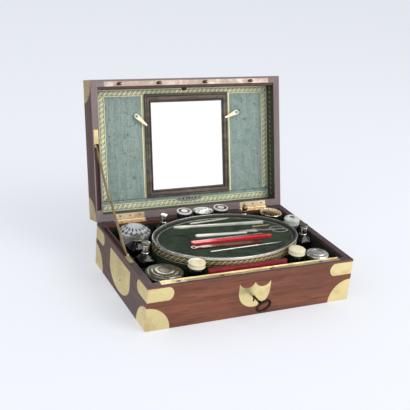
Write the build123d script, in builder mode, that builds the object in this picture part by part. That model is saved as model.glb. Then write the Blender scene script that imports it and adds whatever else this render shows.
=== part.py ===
from build123d import *
from math import acos, atan2, cos, degrees, hypot, pi, radians, sin, sqrt
import os

# Antique brass-bound dressing box, shown with its lid thrown back on the stay.
# Frame: millimetres, +Z up, origin at the centre of the underside, front at -Y.
# Everything on the lid is drawn where it lies when the lid is shut, on planes that
# opened() turns about the hinge pins.

os.makedirs("parts", exist_ok=True)

# ---------------------------------------------------------------- driving sizes
case_width = 380.0
case_depth = 252.0
case_height = 78.5
lid_height = 42.0
board = 12.5                  # thickness of the mitred boards
bottom_thickness = 6.0
top_thickness = 5.5
rim_gap = 0.5                 # felt line between the two rims when shut
lid_open_angle = 105.0
running_fit = 0.3             # clearance round anything that turns or slides

# brass let in flush
inlay = 1.2
bracket_radius = 41.0
strap_length = 45.0
strap_tip = 8.0               # length of the rounded end
strap_width = 23.3
strap_from_rim = 4.2
side_plate_width = 98.0
side_plate_from_rim = 12.0
side_plate_square = 28.0      # height of the straight sides
side_plate_foot = 7.5         # lowest point of the rounded foot
shield_width = 58.0
shield_from_rim = 16.7
shield_scallop = 10.0         # depth of the two hollows between the points
shield_thickness = 1.4

# hinges
hinge_offset = 0.6            # pin centre behind the back face
hinge_place = 127.0
hinge_length = 56.0
hinge_leaf_width = 11.6
hinge_leaf = 2.0
knuckle_radius = 2.5
knuckle_count = 5
pin_radius = 1.1

# lock
strip_end_gap = 12.0          # bare wood beyond each end of the strip
strip_width = 8.6
strip_inset = 3.5             # bare wood in front of the strip
strip_thickness = 2.0
lip_thickness = 0.9           # brass lip that stands inside the front board
lip_height = 1.3
hook_shares = (-0.828, -0.3686, 0.1873, 0.7644)    # of half the strip, from its middle
hook_line = 7.7               # hook centres behind the front face
hook_drop = 12.4
hook_width = 3.0
hook_depth = 2.4
hook_nose = 3.0
hook_nose_height = 2.2
hook_play = 0.9
bar_overrun = 10.25           # bar beyond the end hooks
bar_end_room = 2.5            # room past the bar's travel at each end
bar_width = 6.4
bar_thickness = 2.0
bar_from_rim = 9.5
bar_travel = 3.0
bar_slot_margin = 0.5
tab_width = 6.0
lock_width = 56.0
lock_height = 45.0
lock_depth = 7.4
lock_wall = 0.8
key_from_rim = 44.5
key_shank_radius = 2.0
key_shank_out = 24.0          # bare shank in front of the escutcheon
key_bow_wide = 29.0
key_bow_long = 21.0
key_bow_wire = 4.0
key_thickness = 3.4
key_collar_radius = 3.1
key_collar_length = 2.4
key_turn = 33.0               # how far the bow is turned up from level
key_bit_reach = 8.0
key_bit_length = 3.0
key_bit_thickness = 2.4
keyhole_play = 0.6

# flap in the lid, with the mirror and its turn-buttons
flap_recess = 27.0            # leather face below the lid's rim
flap_thickness = 3.0
flap_gap = 0.3
flap_play = 0.6               # room for the swinging edge
flap_hinge_up = 32.0          # leather hinge above the lid's back face
rail_depth = 4.5              # rail that the flap shuts beside
rail_recess = 2.0
catch_width = 9.0
catch_length = 5.0
catch_thickness = 1.6
mirror_width = 170.0
mirror_shift = 3.5            # the mirror and its buttons sit right of the middle
mirror_from_edge = 9.8        # leather beyond the mirror at the flap's free edge
mirror_from_fold = 0.3
mirror_thickness = 5.5
mirror_side_bar = 13.0
mirror_top_bar = 16.5
mirror_foot_bar = 14.5
mirror_slope = 2.4
mirror_slope_width = 8.0
glass_thickness = 1.8
glass_rebate = 2.5
button_from_mirror = 17.5
button_from_edge = 49.4       # pivots from the flap's free edge
button_head = 4.4
button_tip = 1.7
button_reach = 25.0
button_thickness = 1.3
button_turn_left = -42.0      # arms point down and inwards
button_turn_right = 201.0
button_pin = 1.2
button_screw = 0.7

# stay
stay_reach = 136.1            # both pivots lie this far from the hinge pins
stay_bend = 2.1644          # what is left of the elbow's bend when the lid is open
stay_link_width = 6.6
stay_link_thickness = 1.8
stay_side_gap = 0.3
stay_pivot_depth = 1.2        # pivots below the two rims
stay_pin = 1.2
stay_pin_play = 0.3
stay_groove_wall = 2.0        # wood left outside the groove
stay_groove_width = 8.1
stay_groove_depth = 5.4
stay_groove_spare = 10.0
stay_ear_thickness = 1.4
stay_ear_radius = 3.5
stay_plate_length = 27.0
stay_plate_thickness = 1.5
stay_rivet_head = 0.25

# wells, vessels and the oval
drawn_half_width = 177.5      # inside of the box that the fittings are drawn for
drawn_half_depth = 113.5
side_well = 42.5
front_well = 14.0
back_well = 34.0
divider = 2.0
divider_from_rim = 12.5
divider_gap = 2.0
oval_above_rim = 17.0
oval_rim_height = 4.0
oval_rim_overhang = 1.4
oval_wall = 3.6
oval_floor = 3.0
tray_sunk = 5.0               # velvet below the rim
tray_thickness = 10.0
tray_ledge = 4.0
tray_fit = 0.4
pocket_depth = 1.2
pocket_play = 0.5
back_step = 30.0

# ---------------------------------------------------------------- worked out
half_width = case_width / 2
half_depth = case_depth / 2
inner_half_width = half_width - board
inner_half_depth = half_depth - board
spread_x = inner_half_width / drawn_half_width
spread_y = inner_half_depth / drawn_half_depth
spread_least = min(spread_x, spread_y)
strap_high = case_height - strap_from_rim
strap_low = strap_high - strap_width
side_plate_top = case_height - side_plate_from_rim
side_plate_round = side_plate_top - side_plate_square - side_plate_foot
shield_high = case_height - shield_from_rim
bar_level = case_height - bar_from_rim
lock_foot = bar_level - lock_height
key_level = case_height - key_from_rim
oval_top = case_height + oval_above_rim
lid_rim = case_height + rim_gap
lid_crown = lid_rim + lid_height
flap_face = lid_rim + flap_recess
flap_hinge_y = half_depth - flap_hinge_up
hinge_y = half_depth + hinge_offset
hinge_z = case_height + rim_gap / 2
leaf_edge = hinge_y - knuckle_radius - running_fit
oval_a = inner_half_width - side_well * spread_x
oval_front = -inner_half_depth + front_well * spread_y
oval_back = inner_half_depth - back_well * spread_y
oval_b = (oval_back - oval_front) / 2
oval_y = (oval_back + oval_front) / 2
tray_top = oval_top - tray_sunk
pocket_floor = tray_top - pocket_depth

lid_turn = Pos(0, hinge_y, hinge_z) * Rot(-lid_open_angle, 0, 0) * Pos(0, -hinge_y, -hinge_z)


def opened(plane):
    """The plane, drawn on the shut lid, carried round to where the open lid has it."""
    return Plane(lid_turn * plane.location)


def as_drawn(plane):
    """The plane as it is, for pieces that stay on the case."""
    return plane


def block(place, x0, x1, y0, y1, z0, z1, mode=Mode.ADD):
    """A box between two corners, added to or cut from the part in hand."""
    with BuildSketch(place(Plane.XY.offset(z0))) as footprint:
        with Locations(((x0 + x1) / 2, (y0 + y1) / 2)):
            Rectangle(x1 - x0, y1 - y0)
    extrude(footprint.sketch, amount=z1 - z0, mode=mode)


def disc(place, x, y, radius, z0, z1, mode=Mode.ADD):
    """An upright round, added to or cut from the part in hand."""
    with BuildSketch(place(Plane.XY.offset(z0))) as footprint:
        with Locations((x, y)):
            Circle(radius)
    extrude(footprint.sketch, amount=z1 - z0, mode=mode)


def turned(x, y, points):
    """A turned piece: a closed half profile of (radius, height) spun about an upright axis."""
    with BuildSketch(Plane.XZ.shift_origin((x, 0, 0)).offset(-y)) as profile:
        with BuildLine():
            Polyline(*points, close=True)
        make_face()
    revolve(profile.sketch, axis=Axis((x, y, 0), (0, 0, 1)))


def end_piece(part_builder, name):
    """Name a finished piece and write it out."""
    part_builder.part.label = name
    export_step(part_builder.part, f"parts/{name}.step")


# ---------------------------------------------------------------- inlaid brass
def bracket_leaf(plane, amount):
    """One leaf of a corner bracket: a quarter disc whose centre is the box's own corner."""
    with BuildSketch(plane) as leaf:
        with BuildLine():
            Line((0, 0), (bracket_radius, 0))
            CenterArc((0, 0), bracket_radius, 0, 90)
            Line((0, bracket_radius), (0, 0))
        make_face()
    extrude(leaf.sketch, amount=amount)


def strap_leaf(plane, amount):
    """One leaf of a corner strap: a band with a rounded end."""
    strap_middle = (strap_low + strap_high) / 2
    with BuildSketch(plane) as leaf:
        with BuildLine():
            Polyline((strap_length - strap_tip, strap_high), (0, strap_high), (0, strap_low),
                     (strap_length - strap_tip, strap_low))
            ThreePointArc((strap_length - strap_tip, strap_low), (strap_length, strap_middle),
                          (strap_length - strap_tip, strap_high))
        make_face()
    extrude(leaf.sketch, amount=amount)


front_corner = Plane((-half_width, -half_depth, 0), x_dir=(1, 0, 0), z_dir=(0, -1, 0))
side_corner = Plane((-half_width, -half_depth, 0), x_dir=(0, 1, 0), z_dir=(1, 0, 0))

with BuildPart() as case_inlaid_brasses:
    bracket_leaf(front_corner, -inlay)
    bracket_leaf(side_corner, inlay)
    strap_leaf(front_corner, -inlay)
    strap_leaf(side_corner, inlay)
    mirror(about=Plane.XZ)
    plate_shoulder = side_plate_top - side_plate_square
    with BuildSketch(Plane.YZ.offset(-half_width)) as side_plate:
        with Locations((0, (side_plate_top + plate_shoulder) / 2)):
            Rectangle(side_plate_width, side_plate_square)
        with Locations((0, plate_shoulder)):
            Ellipse(side_plate_width / 2, side_plate_round)
        with Locations((0, side_plate_top + side_plate_round)):
            Rectangle(2 * side_plate_width, 2 * side_plate_round, mode=Mode.SUBTRACT)
    extrude(side_plate.sketch, amount=inlay)
    mirror(about=Plane.YZ)

lid_front_corner = Plane((-half_width, -half_depth, lid_crown), x_dir=(1, 0, 0), z_dir=(0, 1, 0))
lid_side_corner = Plane((-half_width, -half_depth, lid_crown), x_dir=(0, 1, 0), z_dir=(-1, 0, 0))

with BuildPart() as lid_corner_brackets:
    bracket_leaf(opened(lid_front_corner), inlay)
    bracket_leaf(opened(lid_side_corner), -inlay)
    mirror(about=opened(Plane.YZ))
    mirror(about=opened(Plane.XZ))

# ---------------------------------------------------------------- escutcheon
with BuildPart() as escutcheon:
    shield_centre = shield_high - shield_scallop - shield_width / 8
    shield_round = shield_width / 2
    with BuildSketch(Plane.XZ.offset(half_depth)) as shield:
        with BuildLine():
            hollow = shield_high - shield_scallop
            CenterArc((0, shield_centre), shield_round, 180, 180)
            Line((shield_round, shield_centre), (shield_round, shield_high))
            ThreePointArc((shield_round, shield_high), (shield_round / 2, hollow), (0, shield_high))
            ThreePointArc((0, shield_high), (-shield_round / 2, hollow), (-shield_round, shield_high))
            Line((-shield_round, shield_high), (-shield_round, shield_centre))
        make_face()
    extrude(shield.sketch, amount=-shield_thickness)


def cut_keyhole(depth):
    """The keyhole through whatever lies that deep behind the front face."""
    hole_radius = key_shank_radius + keyhole_play
    slot_width = key_bit_thickness + keyhole_play
    slot_foot = key_bit_reach + keyhole_play
    with BuildSketch(Plane.XZ.offset(half_depth)) as keyhole:
        with Locations((0, key_level)):
            Circle(hole_radius)
        with Locations((0, key_level - slot_foot / 2)):
            Rectangle(slot_width, slot_foot)
    extrude(keyhole.sketch, amount=-depth, mode=Mode.SUBTRACT)


with escutcheon:
    cut_keyhole(shield_thickness)

# ---------------------------------------------------------------- rim strips and hooks
strip_length = 2 * (inner_half_width - strip_end_gap)
hook_places = [share * strip_length / 2 for share in hook_shares]
strip_y0 = -half_depth + strip_inset
strip_y1 = strip_y0 + strip_width
hook_y = -half_depth + hook_line
strip_floor = case_height - strip_thickness
lip_y0 = -inner_half_depth + running_fit
lip_y1 = lip_y0 + lip_thickness
hook_foot = lid_rim - hook_drop

with BuildPart() as case_rim_strip:
    block(as_drawn, -strip_length / 2, strip_length / 2, strip_y0, lip_y1, strip_floor, case_height)
    block(as_drawn, -strip_length / 2, strip_length / 2, lip_y0, lip_y1, case_height,
          case_height + lip_height)
    for hook_x in hook_places:
        block(as_drawn, hook_x - hook_width / 2 - hook_play, hook_x + hook_width / 2 + hook_nose + hook_play,
              hook_y - hook_depth / 2 - hook_play, hook_y + hook_depth / 2 + hook_play,
              strip_floor, case_height, mode=Mode.SUBTRACT)

with BuildPart() as lid_rim_strip:
    block(opened, -strip_length / 2, strip_length / 2, strip_y0, strip_y1, lid_rim, lid_rim + strip_thickness)
    for hook_x in hook_places:
        block(opened, hook_x - hook_width / 2, hook_x + hook_width / 2,
              hook_y - hook_depth / 2, hook_y + hook_depth / 2, hook_foot, lid_rim)
        block(opened, hook_x - hook_width / 2, hook_x + hook_width / 2 + hook_nose,
              hook_y - hook_depth / 2, hook_y + hook_depth / 2, hook_foot, hook_foot + hook_nose_height)

# ---------------------------------------------------------------- lock
lock_back = -inner_half_depth
lock_front = lock_back - lock_depth
bar_y0 = hook_y - bar_width / 2
bar_y1 = hook_y + bar_width / 2
bar_x0 = hook_places[0] - bar_overrun
bar_x1 = hook_places[-1] + bar_overrun
tab_y0 = hook_y - hook_depth / 2
tab_y1 = hook_y + hook_depth / 2
bit_room = key_bit_reach + keyhole_play
tab_foot = key_level + key_bit_reach + running_fit

with BuildPart() as lock_case:
    block(as_drawn, -lock_width / 2, lock_width / 2, lock_front, lock_back, lock_foot, bar_level)
    with BuildSketch(Plane.XZ.offset(-lock_front - lock_wall)) as bit_chamber:
        with Locations((0, key_level)):
            Circle(bit_room)
    extrude(bit_chamber.sketch, amount=-(lock_depth - 2 * lock_wall), mode=Mode.SUBTRACT)
    cut_keyhole(lock_front + lock_wall + half_depth)
    block(as_drawn, -tab_width / 2 - bar_travel - bar_end_room, tab_width / 2 + bar_end_room,
          tab_y0 - running_fit, tab_y1 + running_fit, tab_foot - running_fit, bar_level, mode=Mode.SUBTRACT)

with BuildPart() as lock_bar:
    block(as_drawn, bar_x0, bar_x1, bar_y0, bar_y1, bar_level, bar_level + bar_thickness)
    block(as_drawn, -tab_width / 2, tab_width / 2, tab_y0, tab_y1, tab_foot, bar_level)
    for hook_x in hook_places:
        block(as_drawn, hook_x - hook_width / 2 - bar_slot_margin,
              hook_x + hook_width / 2 + bar_slot_margin + bar_travel,
              hook_y - hook_depth / 2 - hook_play, hook_y + hook_depth / 2 + hook_play,
              bar_level, bar_level + bar_thickness, mode=Mode.SUBTRACT)

# ---------------------------------------------------------------- key
key_front = -half_depth - key_shank_out
key_inner = lock_back - lock_wall - running_fit
key_plane = Plane((0, 0, key_level), x_dir=(cos(radians(key_turn)), 0, sin(radians(key_turn))),
                  z_dir=(-sin(radians(key_turn)), 0, cos(radians(key_turn))))
# On key_plane x runs along the wide way of the bow and y runs along +Y, into the lock.
bow_y = key_front - key_bow_long / 2 + key_bow_wire / 2

with BuildPart() as key:
    with BuildSketch(Plane.XZ.offset(-key_front)) as shank:
        with Locations((0, key_level)):
            Circle(key_shank_radius)
    extrude(shank.sketch, amount=-(key_inner - key_front))
    with BuildSketch(key_plane) as bow:
        with Locations((0, bow_y)):
            Ellipse(key_bow_wide / 2, key_bow_long / 2)
            Ellipse(key_bow_wide / 2 - key_bow_wire, key_bow_long / 2 - key_bow_wire, mode=Mode.SUBTRACT)
    extrude(bow.sketch, amount=key_thickness / 2, both=True)
    with BuildSketch(key_plane) as bit:
        with Locations((key_bit_reach / 2, key_inner - key_bit_length / 2)):
            Rectangle(key_bit_reach, key_bit_length)
    extrude(bit.sketch, amount=key_bit_thickness / 2, both=True)
    with BuildSketch(Plane.XZ.offset(-key_front - key_collar_length)) as collar:
        with Locations((0, key_level)):
            Circle(key_collar_radius)
    extrude(collar.sketch, amount=-key_collar_length)

# ---------------------------------------------------------------- stay
groove_x0 = -half_width + stay_groove_wall
lid_ear_x = groove_x0 + stay_side_gap + 0.1
upper_link_x = lid_ear_x + stay_ear_thickness + stay_side_gap
lower_link_x = upper_link_x + stay_link_thickness + stay_side_gap
case_ear_x = lower_link_x + stay_link_thickness + stay_side_gap
groove_x1 = groove_x0 + stay_groove_width

pivot_y = hinge_y - stay_reach
case_pivot_z = case_height - stay_pivot_depth
lid_pivot_z = lid_rim + stay_pivot_depth
lid_pivot_open = (lid_turn * Pos(0, pivot_y, lid_pivot_z)).position
chord_y = lid_pivot_open.Y - pivot_y
chord_z = lid_pivot_open.Z - case_pivot_z
chord = hypot(chord_y, chord_z)
chord_angle = degrees(atan2(chord_z, chord_y))
stay_link_length = chord / 2 / cos(radians(stay_bend))
lower_angle = chord_angle - stay_bend
upper_angle = chord_angle + stay_bend + 180.0
groove_y0 = pivot_y - stay_ear_radius - 1.0
groove_y1 = groove_y0 + stay_link_length + stay_groove_spare
shut_half_gap = (lid_pivot_z - case_pivot_z) / 2
lower_angle_shut = degrees(acos(sqrt(1 - (shut_half_gap / stay_link_length) ** 2)))
stay_swing = lower_angle - lower_angle_shut


def link(x, start_y, start_z, angle, rivet_side):
    """A flat bar of the stay from its pivot, with the elbow rivet's head on its far end."""
    run_y = stay_link_length * cos(radians(angle))
    run_z = stay_link_length * sin(radians(angle))
    with BuildSketch(Plane.YZ.offset(x)) as bar:
        with Locations((start_y + run_y / 2, start_z + run_z / 2)):
            SlotCenterToCenter(stay_link_length, stay_link_width, rotation=angle)
        with Locations((start_y, start_z)):
            Circle(stay_pin + stay_pin_play, mode=Mode.SUBTRACT)
    extrude(bar.sketch, amount=stay_link_thickness)
    head_x = x + stay_link_thickness if rivet_side > 0 else x
    with BuildSketch(Plane.YZ.offset(head_x)) as rivet:
        with Locations((start_y + run_y, start_z + run_z)):
            Circle(1.6)
    extrude(rivet.sketch, amount=rivet_side * stay_rivet_head)


with BuildPart() as stay_lower_link:
    link(lower_link_x, pivot_y, case_pivot_z, lower_angle, 1)

with BuildPart() as stay_upper_link:
    link(upper_link_x, lid_pivot_open.Y, lid_pivot_open.Z, upper_angle, -1)


def ear(place, x, pivot_z, shank_way):
    """The upright ear of a stay plate with the pin that the link hangs on."""
    pin_length = stay_ear_thickness + stay_side_gap + stay_link_thickness
    with BuildSketch(place(Plane.YZ.offset(x))) as lug:
        with Locations((pivot_y, pivot_z)):
            Circle(stay_ear_radius)
    extrude(lug.sketch, amount=stay_ear_thickness)
    pin_x = x if shank_way > 0 else x + stay_ear_thickness
    with BuildSketch(place(Plane.YZ.offset(pin_x))) as pin:
        with Locations((pivot_y, pivot_z)):
            Circle(stay_pin)
    extrude(pin.sketch, amount=shank_way * pin_length)


plate_back = pivot_y - stay_ear_radius + 1.0
plate_front = plate_back - stay_plate_length

with BuildPart() as stay_case_plate:
    ear(as_drawn, case_ear_x, case_pivot_z, -1)
    block(as_drawn, groove_x0, groove_x1, plate_front, groove_y0,
          case_height - stay_plate_thickness, case_height)
    block(as_drawn, case_ear_x, case_ear_x + stay_ear_thickness, groove_y0, pivot_y,
          case_height - stay_plate_thickness, case_height)

with BuildPart() as stay_lid_plate:
    ear(opened, lid_ear_x, lid_pivot_z, 1)
    block(opened, groove_x0, groove_x1, plate_front, groove_y0, lid_rim, lid_rim + stay_plate_thickness)
    block(opened, lid_ear_x, lid_ear_x + stay_ear_thickness, groove_y0, pivot_y,
          lid_rim, lid_rim + stay_plate_thickness)

# ---------------------------------------------------------------- hinges
knuckle_length = hinge_length / knuckle_count


def hinge_half(place, leaf_floor, first_knuckle, bored):
    """One leaf of both butt hinges, let into a rim, with every other knuckle."""
    for centre in (-hinge_place, hinge_place):
        block(place, centre - hinge_length / 2, centre + hinge_length / 2,
              half_depth - hinge_leaf_width, leaf_edge, leaf_floor, leaf_floor + hinge_leaf)
        for index in range(first_knuckle, knuckle_count, 2):
            x0 = centre - hinge_length / 2 + index * knuckle_length + running_fit / 2
            x1 = x0 + knuckle_length - running_fit
            with BuildSketch(place(Plane.YZ.offset(x0))) as knuckle:
                with Locations((hinge_y, hinge_z)):
                    Circle(knuckle_radius)
                with Locations(((leaf_edge + hinge_y) / 2, leaf_floor + hinge_leaf / 2)):
                    Rectangle(hinge_y - leaf_edge, hinge_leaf)
                if bored:
                    with Locations((hinge_y, hinge_z)):
                        Circle(pin_radius + running_fit, mode=Mode.SUBTRACT)
            extrude(knuckle.sketch, amount=x1 - x0)


def cut_knuckle_room(place):
    """The round room in a back edge where the knuckles of both hinges turn."""
    for centre in (-hinge_place, hinge_place):
        with BuildSketch(place(Plane.YZ.offset(centre - hinge_length / 2))) as room:
            with Locations((hinge_y, hinge_z)):
                Circle(knuckle_radius + running_fit)
        extrude(room.sketch, amount=hinge_length, mode=Mode.SUBTRACT)


with BuildPart() as case_hinge_leaves:
    hinge_half(as_drawn, case_height - hinge_leaf, 0, False)
    for centre in (-hinge_place, hinge_place):
        with BuildSketch(Plane.YZ.offset(centre - hinge_length / 2)) as pin:
            with Locations((hinge_y, hinge_z)):
                Circle(pin_radius)
        extrude(pin.sketch, amount=hinge_length)

with BuildPart() as lid_hinge_leaves:
    hinge_half(opened, lid_rim, 1, True)

# ---------------------------------------------------------------- boards
wall_ways = {
    "front": ((0, -half_depth), (1, 0, 0), case_width),
    "back": ((0, half_depth), (-1, 0, 0), case_width),
    "left": ((-half_width, 0), (0, -1, 0), case_depth),
    "right": ((half_width, 0), (0, 1, 0), case_depth),
}


def mitred_board(place, side, foot, height):
    """A board with mitred ends, standing along one side of the box."""
    (x, y), along, length = wall_ways[side]
    with BuildSketch(place(Plane((x, y, foot), x_dir=along, z_dir=(0, 0, 1)))) as outline:
        with BuildLine():
            Polyline((-length / 2, 0), (length / 2, 0), (length / 2 - board, board),
                     (-length / 2 + board, board), close=True)
        make_face()
    extrude(outline.sketch, amount=height)


def let_in(*pieces):
    """Cut the bed of each brass piece that is let in flush."""
    for piece in pieces:
        add(piece.part, mode=Mode.SUBTRACT)


with BuildPart() as case_front_board:
    mitred_board(as_drawn, "front", 0, case_height)
    block(as_drawn, bar_x0 - bar_travel - bar_end_room, bar_x1 + bar_end_room,
          bar_y0 - running_fit, bar_y1 + running_fit, bar_level, strip_floor, mode=Mode.SUBTRACT)
    for hook_x in hook_places:
        block(as_drawn, hook_x - hook_width / 2 - hook_play, hook_x + hook_width / 2 + hook_nose + hook_play,
              hook_y - hook_depth / 2 - hook_play, hook_y + hook_depth / 2 + hook_play,
              hook_foot - hook_play, case_height, mode=Mode.SUBTRACT)
    block(as_drawn, -lock_width / 2, lock_width / 2, lock_front, -inner_half_depth,
          lock_foot, bar_level, mode=Mode.SUBTRACT)
    cut_keyhole(lock_front + half_depth)
    let_in(case_rim_strip, case_inlaid_brasses, escutcheon)

with BuildPart() as case_back_board:
    mitred_board(as_drawn, "back", 0, case_height)
    cut_knuckle_room(as_drawn)
    let_in(case_inlaid_brasses, case_hinge_leaves)

with BuildPart() as case_end_boards:
    mitred_board(as_drawn, "left", 0, case_height)
    mitred_board(as_drawn, "right", 0, case_height)
    block(as_drawn, groove_x0, groove_x1, groove_y0, groove_y1,
          case_height - stay_groove_depth, case_height, mode=Mode.SUBTRACT)
    let_in(case_inlaid_brasses, stay_case_plate)

with BuildPart() as case_bottom_board:
    block(as_drawn, -inner_half_width, inner_half_width, -inner_half_depth, inner_half_depth,
          0, bottom_thickness)

with BuildPart() as lid_front_board:
    mitred_board(opened, "front", lid_rim, lid_height)
    block(opened, -inner_half_width, inner_half_width, -inner_half_depth, -inner_half_depth + rail_depth,
          lid_rim + rail_recess, lid_crown - top_thickness)
    let_in(lid_rim_strip, lid_corner_brackets)

with BuildPart() as lid_back_board:
    mitred_board(opened, "back", lid_rim, lid_height)
    cut_knuckle_room(opened)
    block(opened, -inner_half_width, inner_half_width, flap_hinge_y + flap_gap, inner_half_depth,
          flap_face, lid_crown - top_thickness)
    let_in(lid_corner_brackets, lid_hinge_leaves)

with BuildPart() as lid_end_boards:
    mitred_board(opened, "left", lid_rim, lid_height)
    mitred_board(opened, "right", lid_rim, lid_height)
    block(opened, groove_x0, groove_x1, groove_y0, groove_y1,
          lid_rim, lid_rim + stay_groove_depth, mode=Mode.SUBTRACT)
    let_in(lid_corner_brackets, stay_lid_plate)

with BuildPart() as lid_top_board:
    block(opened, -inner_half_width, inner_half_width, -inner_half_depth, inner_half_depth,
          lid_crown - top_thickness, lid_crown)

# ---------------------------------------------------------------- flap, mirror, turn-buttons
flap_y0 = -inner_half_depth + rail_depth + flap_play
flap_y1 = flap_hinge_y - flap_gap
flap_half_width = inner_half_width - flap_gap
mirror_y0 = flap_y0 + mirror_from_edge
mirror_y1 = flap_y1 - mirror_from_fold
mirror_face = flap_face - mirror_thickness
mirror_x0 = mirror_shift - mirror_width / 2
mirror_x1 = mirror_shift + mirror_width / 2
button_places = (mirror_x0 - button_from_mirror, mirror_x1 + button_from_mirror)
button_y = flap_y0 + button_from_edge
button_top = mirror_face - running_fit
button_face = button_top - button_thickness
glass_y0 = mirror_y0 + mirror_top_bar - glass_rebate
glass_y1 = mirror_y1 - mirror_foot_bar + glass_rebate
glass_x0 = mirror_x0 + mirror_side_bar - glass_rebate
glass_x1 = mirror_x1 - mirror_side_bar + glass_rebate

with BuildPart() as lid_flap:
    block(opened, -flap_half_width, flap_half_width, flap_y0, flap_y1, flap_face, flap_face + flap_thickness)
    for button_x in button_places:
        disc(opened, button_x, button_y, button_head * 0.7, mirror_face, flap_face)
        disc(opened, button_x, button_y, button_pin, button_face - running_fit, mirror_face)
        disc(opened, button_x, button_y, button_head * 0.6, button_face - running_fit - button_screw,
             button_face - running_fit)

with BuildPart() as flap_catch:
    block(opened, -catch_width / 2, catch_width / 2, flap_y0, flap_y0 + catch_length,
          flap_face - catch_thickness, flap_face)
    disc(opened, 0, flap_y0 + catch_length / 2, catch_length * 0.3,
         flap_face - 2 * catch_thickness, flap_face - catch_thickness)

with BuildPart() as mirror_frame:
    block(opened, mirror_x0, mirror_x1, mirror_y0, mirror_y1, mirror_face, flap_face)
    block(opened, mirror_x0 + mirror_side_bar, mirror_x1 - mirror_side_bar,
          mirror_y0 + mirror_top_bar, mirror_y1 - mirror_foot_bar, mirror_face, flap_face, mode=Mode.SUBTRACT)
    face_plane = opened(Plane.XY.offset(mirror_face))
    sight_edges = [
        edge for edge in mirror_frame.edges()
        if abs(face_plane.to_local_coords(edge.center()).Z) < 0.01
        and mirror_x0 + 1 < face_plane.to_local_coords(edge.center()).X < mirror_x1 - 1
        and mirror_y0 + 1 < face_plane.to_local_coords(edge.center()).Y < mirror_y1 - 1
    ]
    chamfer(sight_edges, mirror_slope)
    block(opened, glass_x0, glass_x1, glass_y0, glass_y1,
          flap_face - glass_thickness, flap_face, mode=Mode.SUBTRACT)

with BuildPart() as mirror_glass:
    block(opened, glass_x0, glass_x1, glass_y0, glass_y1,
          flap_face - glass_thickness, flap_face)


def turn_button(x, turn):
    """A brass button: a round eye on the pin and a tapering arm."""
    with BuildSketch(opened(Plane.XY.offset(button_face))) as outline:
        with Locations((x, button_y)):
            Circle(button_head)
        with Locations((x + button_reach * cos(radians(turn)), button_y - button_reach * sin(radians(turn)))):
            Circle(button_tip)
        make_hull()
        with Locations((x, button_y)):
            Circle(button_pin + running_fit, mode=Mode.SUBTRACT)
    extrude(outline.sketch, amount=button_thickness)


with BuildPart() as turn_button_left:
    turn_button(button_places[0], button_turn_left)

with BuildPart() as turn_button_right:
    turn_button(button_places[1], button_turn_right)

# ---------------------------------------------------------------- wells
def oval_x_at(y):
    """Half width of the oval at a depth, zero beyond it."""
    return oval_a * sqrt(max(0.0, 1 - ((y - oval_y) / oval_b) ** 2))


def oval_back_at(x):
    """Back edge of the oval at a place across the box."""
    return oval_y + oval_b * sqrt(max(0.0, 1 - (x / oval_a) ** 2))


side_dividers = {-1: (-41.0, 1.0, 46.0), 1: (-47.0, 4.0, 51.0)}
back_dividers = [place * spread_x for place in (-99.0, -57.0, -18.3, 26.0, 60.0, 108.0)]
divider_top = case_height - divider_from_rim

with BuildPart() as partitions:
    for side, places in side_dividers.items():
        for y in [place * spread_y for place in places]:
            reach = oval_x_at(y) + divider_gap
            inner, outer = sorted((side * reach, side * inner_half_width))
            block(as_drawn, inner, outer, y - divider / 2, y + divider / 2, bottom_thickness, divider_top)
    for x in back_dividers:
        block(as_drawn, x - divider / 2, x + divider / 2, oval_back_at(x) + divider_gap, inner_half_depth,
              bottom_thickness, divider_top)
    for left, right in zip(back_dividers[1:4], back_dividers[2:5]):
        step_front = max(oval_back_at(left), oval_back_at(right), oval_back_at((left + right) / 2))
        block(as_drawn, left + divider / 2, right - divider / 2, step_front + divider_gap, inner_half_depth,
              bottom_thickness, bottom_thickness + back_step)

# ---------------------------------------------------------------- oval case and its tray
drum_inset = oval_rim_overhang + oval_wall
tray_floor = tray_top - tray_thickness


def oval_ring(z0, z1, outer, inner):
    """A band of the oval between two levels, its edges set in from the full oval."""
    with BuildSketch(Plane.XY.offset(z0)) as band:
        with Locations((0, oval_y)):
            Ellipse(oval_a - outer, oval_b - outer)
            if inner:
                Ellipse(oval_a - inner, oval_b - inner, mode=Mode.SUBTRACT)
    extrude(band.sketch, amount=z1 - z0)


with BuildPart() as oval_case:
    oval_ring(bottom_thickness, bottom_thickness + oval_floor, oval_rim_overhang, 0)
    oval_ring(bottom_thickness + oval_floor, tray_floor, oval_rim_overhang, drum_inset + tray_ledge)
    oval_ring(tray_floor, oval_top - oval_rim_height, oval_rim_overhang, drum_inset)
    oval_ring(oval_top - oval_rim_height, oval_top, 0, drum_inset)
    chamfer(oval_case.faces().sort_by(Axis.Z)[-1].edges(), 1.0)

# ---------------------------------------------------------------- tools in the tray
class Tool:
    """Where a tool lies: its two ends on the tray, and the plane along it."""

    def __init__(self, start, end):
        """Spread the ends over the tray and work out the length, the turn and the middle."""
        start = (start[0] * spread_x, start[1] * spread_y)
        end = (end[0] * spread_x, end[1] * spread_y)
        self.length = hypot(end[0] - start[0], end[1] - start[1])
        self.turn = degrees(atan2(end[1] - start[1], end[0] - start[0]))
        self.middle = ((start[0] + end[0]) / 2, (start[1] + end[1]) / 2)

    def flat(self, level):
        """A level plane whose x runs along the tool from its middle."""
        along = (cos(radians(self.turn)), sin(radians(self.turn)), 0)
        return Plane((*self.middle, level), x_dir=along, z_dir=(0, 0, 1))

    def upright(self, level):
        """An upright plane along the tool, for turned profiles."""
        along = (cos(radians(self.turn)), sin(radians(self.turn)), 0)
        across = (sin(radians(self.turn)), -cos(radians(self.turn)), 0)
        return Plane((*self.middle, level), x_dir=along, z_dir=across)


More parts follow.
